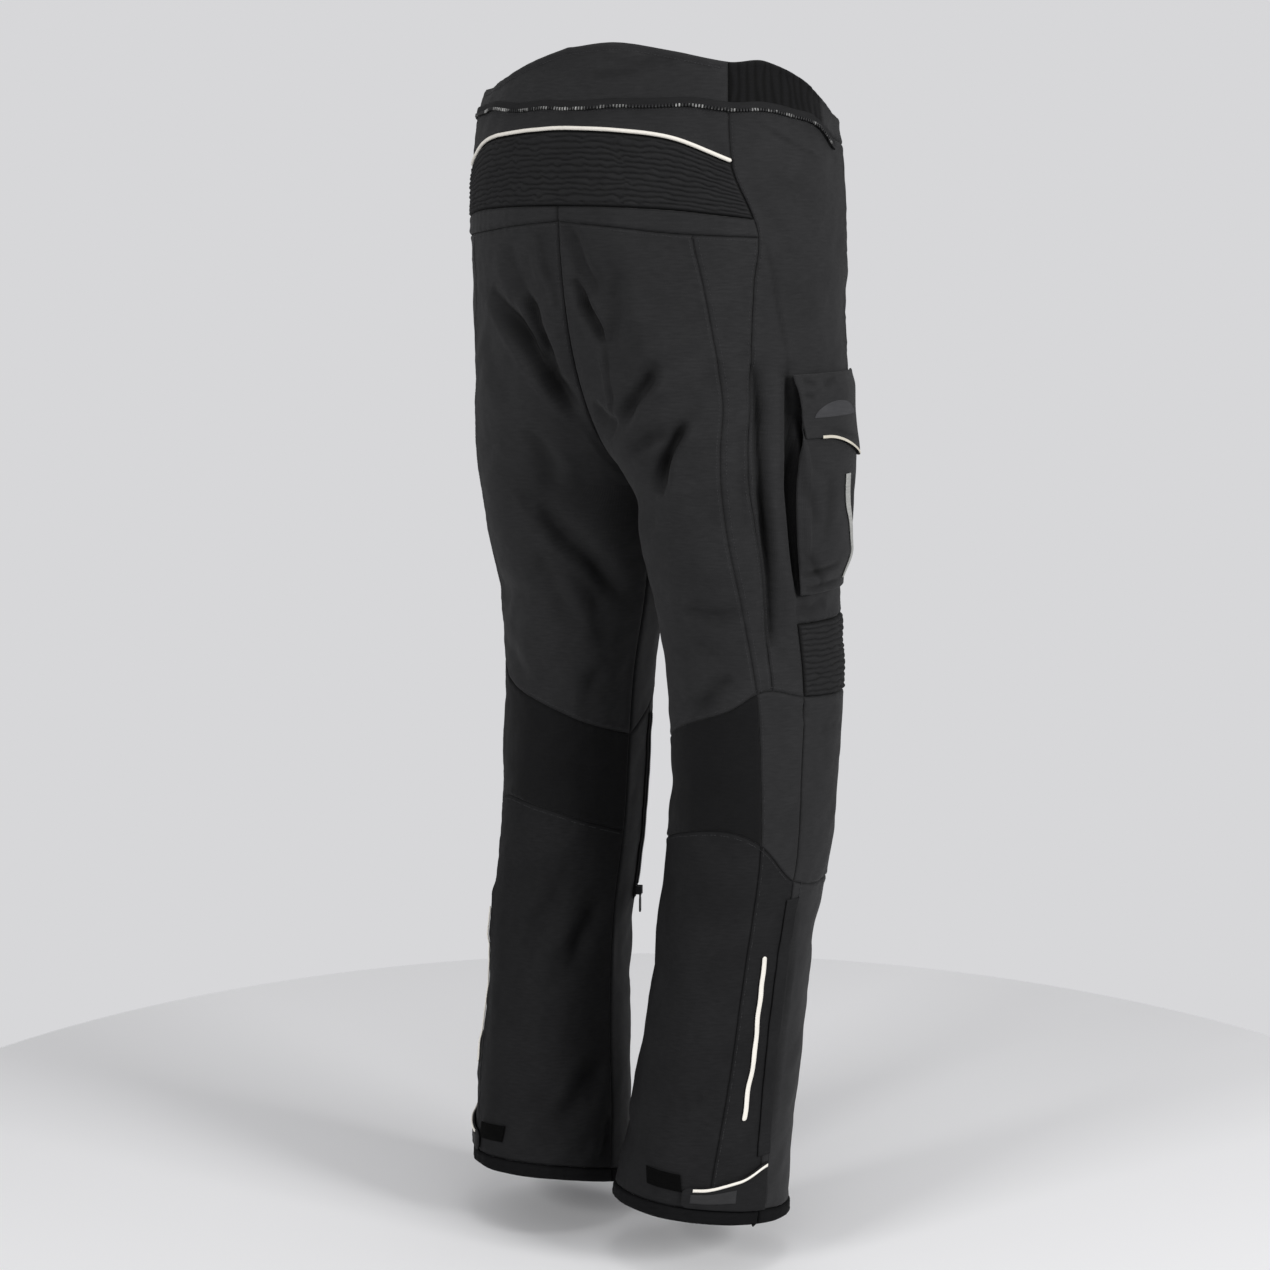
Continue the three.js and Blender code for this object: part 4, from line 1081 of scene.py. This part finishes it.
# Grey cloth a shade lighter than the shell, a cream edge that stands out, and tape of a soft silver.
grey_patch, grey_patch_shader = new_material("grey reinforcing cloth", 0.75, 0.15)
weave(grey_patch, grey_patch_shader, 0.9, 0.2, "#343436", "#454547")
light_edge, light_edge_shader = new_material("cream bound edge", 0.6, 0.3)
weave(light_edge, light_edge_shader, 0.7, 0.15, "#bdb7a8", "#ded8ca")
silver_tape, silver_tape_shader = new_material("silver reflective tape", 0.4, 0.5, 0.2)
weave(silver_tape, silver_tape_shader, 0.6, 0.08, "#8d8e8c", "#b4b4b0")
for word, side in SIDES:
    laid_piece(f"pocket_{word}", side, bag_patch, (103, 186), shell_cloth, 2.2, 1.8,
               bag_rise, True, None, BAG_WRINKLES)
    laid_piece(f"pocket_flap_{word}", side, flap_patch, (110, 75), shell_cloth, 2.0, 2.0,
               flap_rise, True, None, FLAP_WRINKLES)
    laid_piece(f"pocket_flap_edge_{word}", side, flap_edge_patch, (84, 2.8), light_edge, 1.6,
               0.8, raised(flap_rise, 1.8), True, ())
    laid_piece(f"pocket_half_moon_{word}", side, half_moon_patch, (69, 14), grey_patch, 2.0,
               0.6, raised(flap_rise, 2.0), True, ())
    laid_piece(f"pocket_stripe_{word}", side, pocket_stripe_patch, (8, 106), silver_tape,
               2.0, 1.0, raised(bag_rise, 2.8), True)

# Calf strips: narrow off-white reflective tape, sewn down the outer calf a little wavily, with round ends.
# The left one sits further back, because that calf hangs turned.
STRIP_LENGTH = 162
STRIP_WIDTH = 5


def strip_patch(middle):
    """The reflective strip round a middle share."""
    def patch(u, v):
        end = np.minimum(v, 1 - v) * STRIP_LENGTH
        width = STRIP_WIDTH * np.sqrt(np.clip(1 - (1 - np.clip(2 * end / STRIP_WIDTH, 0, 1)) ** 2, 0.01, 1))
        wave = 0.006 * np.sin(np.pi * v) + 0.0012 * np.sin(13 * v) + 0.0007 * np.sin(29 * v)
        return middle + wave + width / AROUND * (u - 0.5), -853 - STRIP_LENGTH * v

    return patch


for word, side, middle in (("left", 1, 0.368), ("right", -1, 0.41)):
    laid_piece(f"calf_stripe_{word}", side, strip_patch(middle), (STRIP_WIDTH, STRIP_LENGTH), reflective,
               2.0, 1.2)

# Placket over each ankle zip: a strip of the calf's cloth with a folded edge.
# It is sewn along the side seam down to the hem tab.
def placket_patch(u, v):
    """The placket, which follows the side seam."""
    height = -800 - 254 * v
    return smooth_table(SEAMS, height)["side"] + 16 / AROUND * (u - 0.4), height


for word, side in SIDES:
    laid_piece(f"ankle_placket_{word}", side, placket_patch, (16, 254), shaded_calf_cloth, 2.2, 1.6)

# Hem tabs: a tab of the calf's cloth with a round end, off-white piping along its top and a grey patch of
# hooks. It closes on a black patch of loops on the calf.
TAB_BACK = 0.312
TAB_FRONT = 0.474


def tab_top(u):
    """The height of the tab's upper edge."""
    return -1078 + 6 * ease(u, 0.2, 0.7) + 11 * ease(u, 0.6, 1)


def tab_patch(u, v):
    """The tab."""
    share = TAB_BACK + (TAB_FRONT - TAB_BACK) * u
    low = levels_at(-1, share)["binding"] + 0.5
    middle = (tab_top(u) + low) / 2
    pull_in = 0.6 * (1 - np.sqrt(np.clip(1 - (1 - np.clip(u / 0.08, 0, 1)) ** 2, 0, 1)))
    upper = tab_top(u) + (middle - tab_top(u)) * pull_in
    lower = low + (middle - low) * pull_in
    return share, upper + (lower - upper) * v


def tab_piping_patch(u, v):
    """The piping."""
    along = 0.12 + 0.85 * u
    return TAB_BACK + (TAB_FRONT - TAB_BACK) * along, tab_top(along) - 1 - 3 * v


def hook_patch(u, v):
    """The grey patch of hooks."""
    return tab_patch(0.1 + 0.5 * u, 0.32 + 0.42 * v)


def loop_patch(u, v):
    """The patch of loops, a little askew."""
    return 0.236 + 0.069 * u + 0.006 * v, -1062 - 17 * v - 4 * u


# Hooks hardly lighter than the cloth, and loops that swallow the light.
hook_tape, hook_shader = new_material("charcoal hook tape", 0.7, 0.15)
weave(hook_tape, hook_shader, 0.7, 0.2, "#262627", "#333334")
loop_tape, loop_shader = new_material("black loop tape", 0.95, 0.05)
weave(loop_tape, loop_shader, 0.6, 0.3, "#050505", "#0b0b0b")
for word, side in SIDES:
    laid_piece(f"hem_tab_{word}", side, tab_patch, (86, 26), shaded_calf_cloth, 2.0, 2.0, 1.5)
    laid_piece(f"tab_piping_{word}", side, tab_piping_patch, (73, 3), reflective,
               1.6, 1.6, 4.0)
    laid_piece(f"hem_tab_hooks_{word}", side, hook_patch, (43, 10), hook_tape, 2.0, 0.6, 3.4,
               False, ())
    laid_piece(f"loop_patch_{word}", side, loop_patch, (37, 17), loop_tape, 2.0, 1.4)

# Knee zips: a woven tape down the inside of the knee, with two rows of dark moulded teeth.
# The slider rests near their lower end.
KNEE_ZIP = 0.915


def knee_zip_patch(u, v):
    """The knee zip's tape."""
    return KNEE_ZIP + 11 / AROUND * (u - 0.5), -650 - 194 * v


tooth_height = np.linspace(-652, -828, 89)
tooth_ones = np.ones(len(tooth_height))
for word, side in SIDES:
    laid_piece(f"knee_zip_{word}", side, knee_zip_patch, (11, 194), zip_tape, 2.2, 1.4)
    tooth_rows = []
    for aside in (-1.1, 1.1):
        tooth_rows.append((side * (KNEE_ZIP + aside / AROUND) * tooth_ones, tooth_height, 3.0))
    small_blocks(f"knee_zip_teeth_{word}", tooth_rows, (1.3, 1.9, 1.2), dark_metal)

# Topstitching: rows of dark thread beside the seams, each stitch a short raised bar.
# The thread is a twisted ply, hardly lighter than the cloth.
STITCH_PITCH = 3.2
STITCH_STEPS = 200
thread, thread_shader = new_material("charcoal sewing thread", 0.6, 0.3)
ply = object_noise(thread, Scale=1500.0, Detail=1.0)
thread.node_tree.links.new(mixed(thread, ply, "#121213", "#343436"), thread_shader.inputs["Base Color"])
# The column or row that each follows, from and to on the other, and the distance beside it in mm
STITCH_COLUMNS = (
    ("back", "band", "kneeTop", -3), ("back", "band", "kneeTop", 5),
    ("pleat", "band", "kneeTop", -3), ("pleat", "zip", "kneeTop", 3),
    ("side", "sideRib", "kneeTop", -3), ("front", "zip", "sideRib", -3),
    ("back", "kneeBottom", "binding", 3), ("side", "kneeBottom", "binding", 10),
    ("back", "kneeTop", "kneeBottom", 3), ("centre", "band", "crotch", 3),
)
STITCH_ROWS = (
    ("zip", "centre", "end", 6), ("top", "centre", "pleat", 7), ("piping", "centre", "pleat", -5),
    ("band", "centre", "pleat", 3), ("ribs", "centre", "pleat", 3), ("kneeTop", "centre", "side", -4),
    ("kneeBottom", "centre", "side", 4), ("binding", "centre", "side", 3), ("sideRib", "side", "front", -3),
)


def spaced_run(side, share, height, pitch, offset):
    """Evenly spaced places along a line on the cloth."""
    dense = cut_point(np.full(len(share), float(side)), share, height)
    length = np.concatenate([[0], np.cumsum(np.linalg.norm(np.diff(dense, axis=0), axis=1))])
    places = np.arange(pitch, length[-1] - pitch, pitch)
    return side * np.interp(places, length, share), np.interp(places, length, height), offset


for word, side in SIDES:
    stitch_runs = []
    for name, first, last, aside in STITCH_COLUMNS:
        rows_at = np.linspace(row[first], row[last], STITCH_STEPS)
        share, height = grid_place(side, np.full(STITCH_STEPS, float(column[name])), rows_at)
        stitch_runs.append(spaced_run(side, share + aside / AROUND, height, STITCH_PITCH, 0.15))
    for name, first, last, below in STITCH_ROWS:
        columns_at = np.linspace(column[first] + 0.05, column[last] - 0.05, STITCH_STEPS)
        share, height = grid_place(side, columns_at, np.full(STITCH_STEPS, float(row[name])))
        stitch_runs.append(spaced_run(side, share, height - below, STITCH_PITCH, 0.15))
    small_blocks(f"topstitching_{word}", stitch_runs, (2.3, 0.6, 0.6), thread)
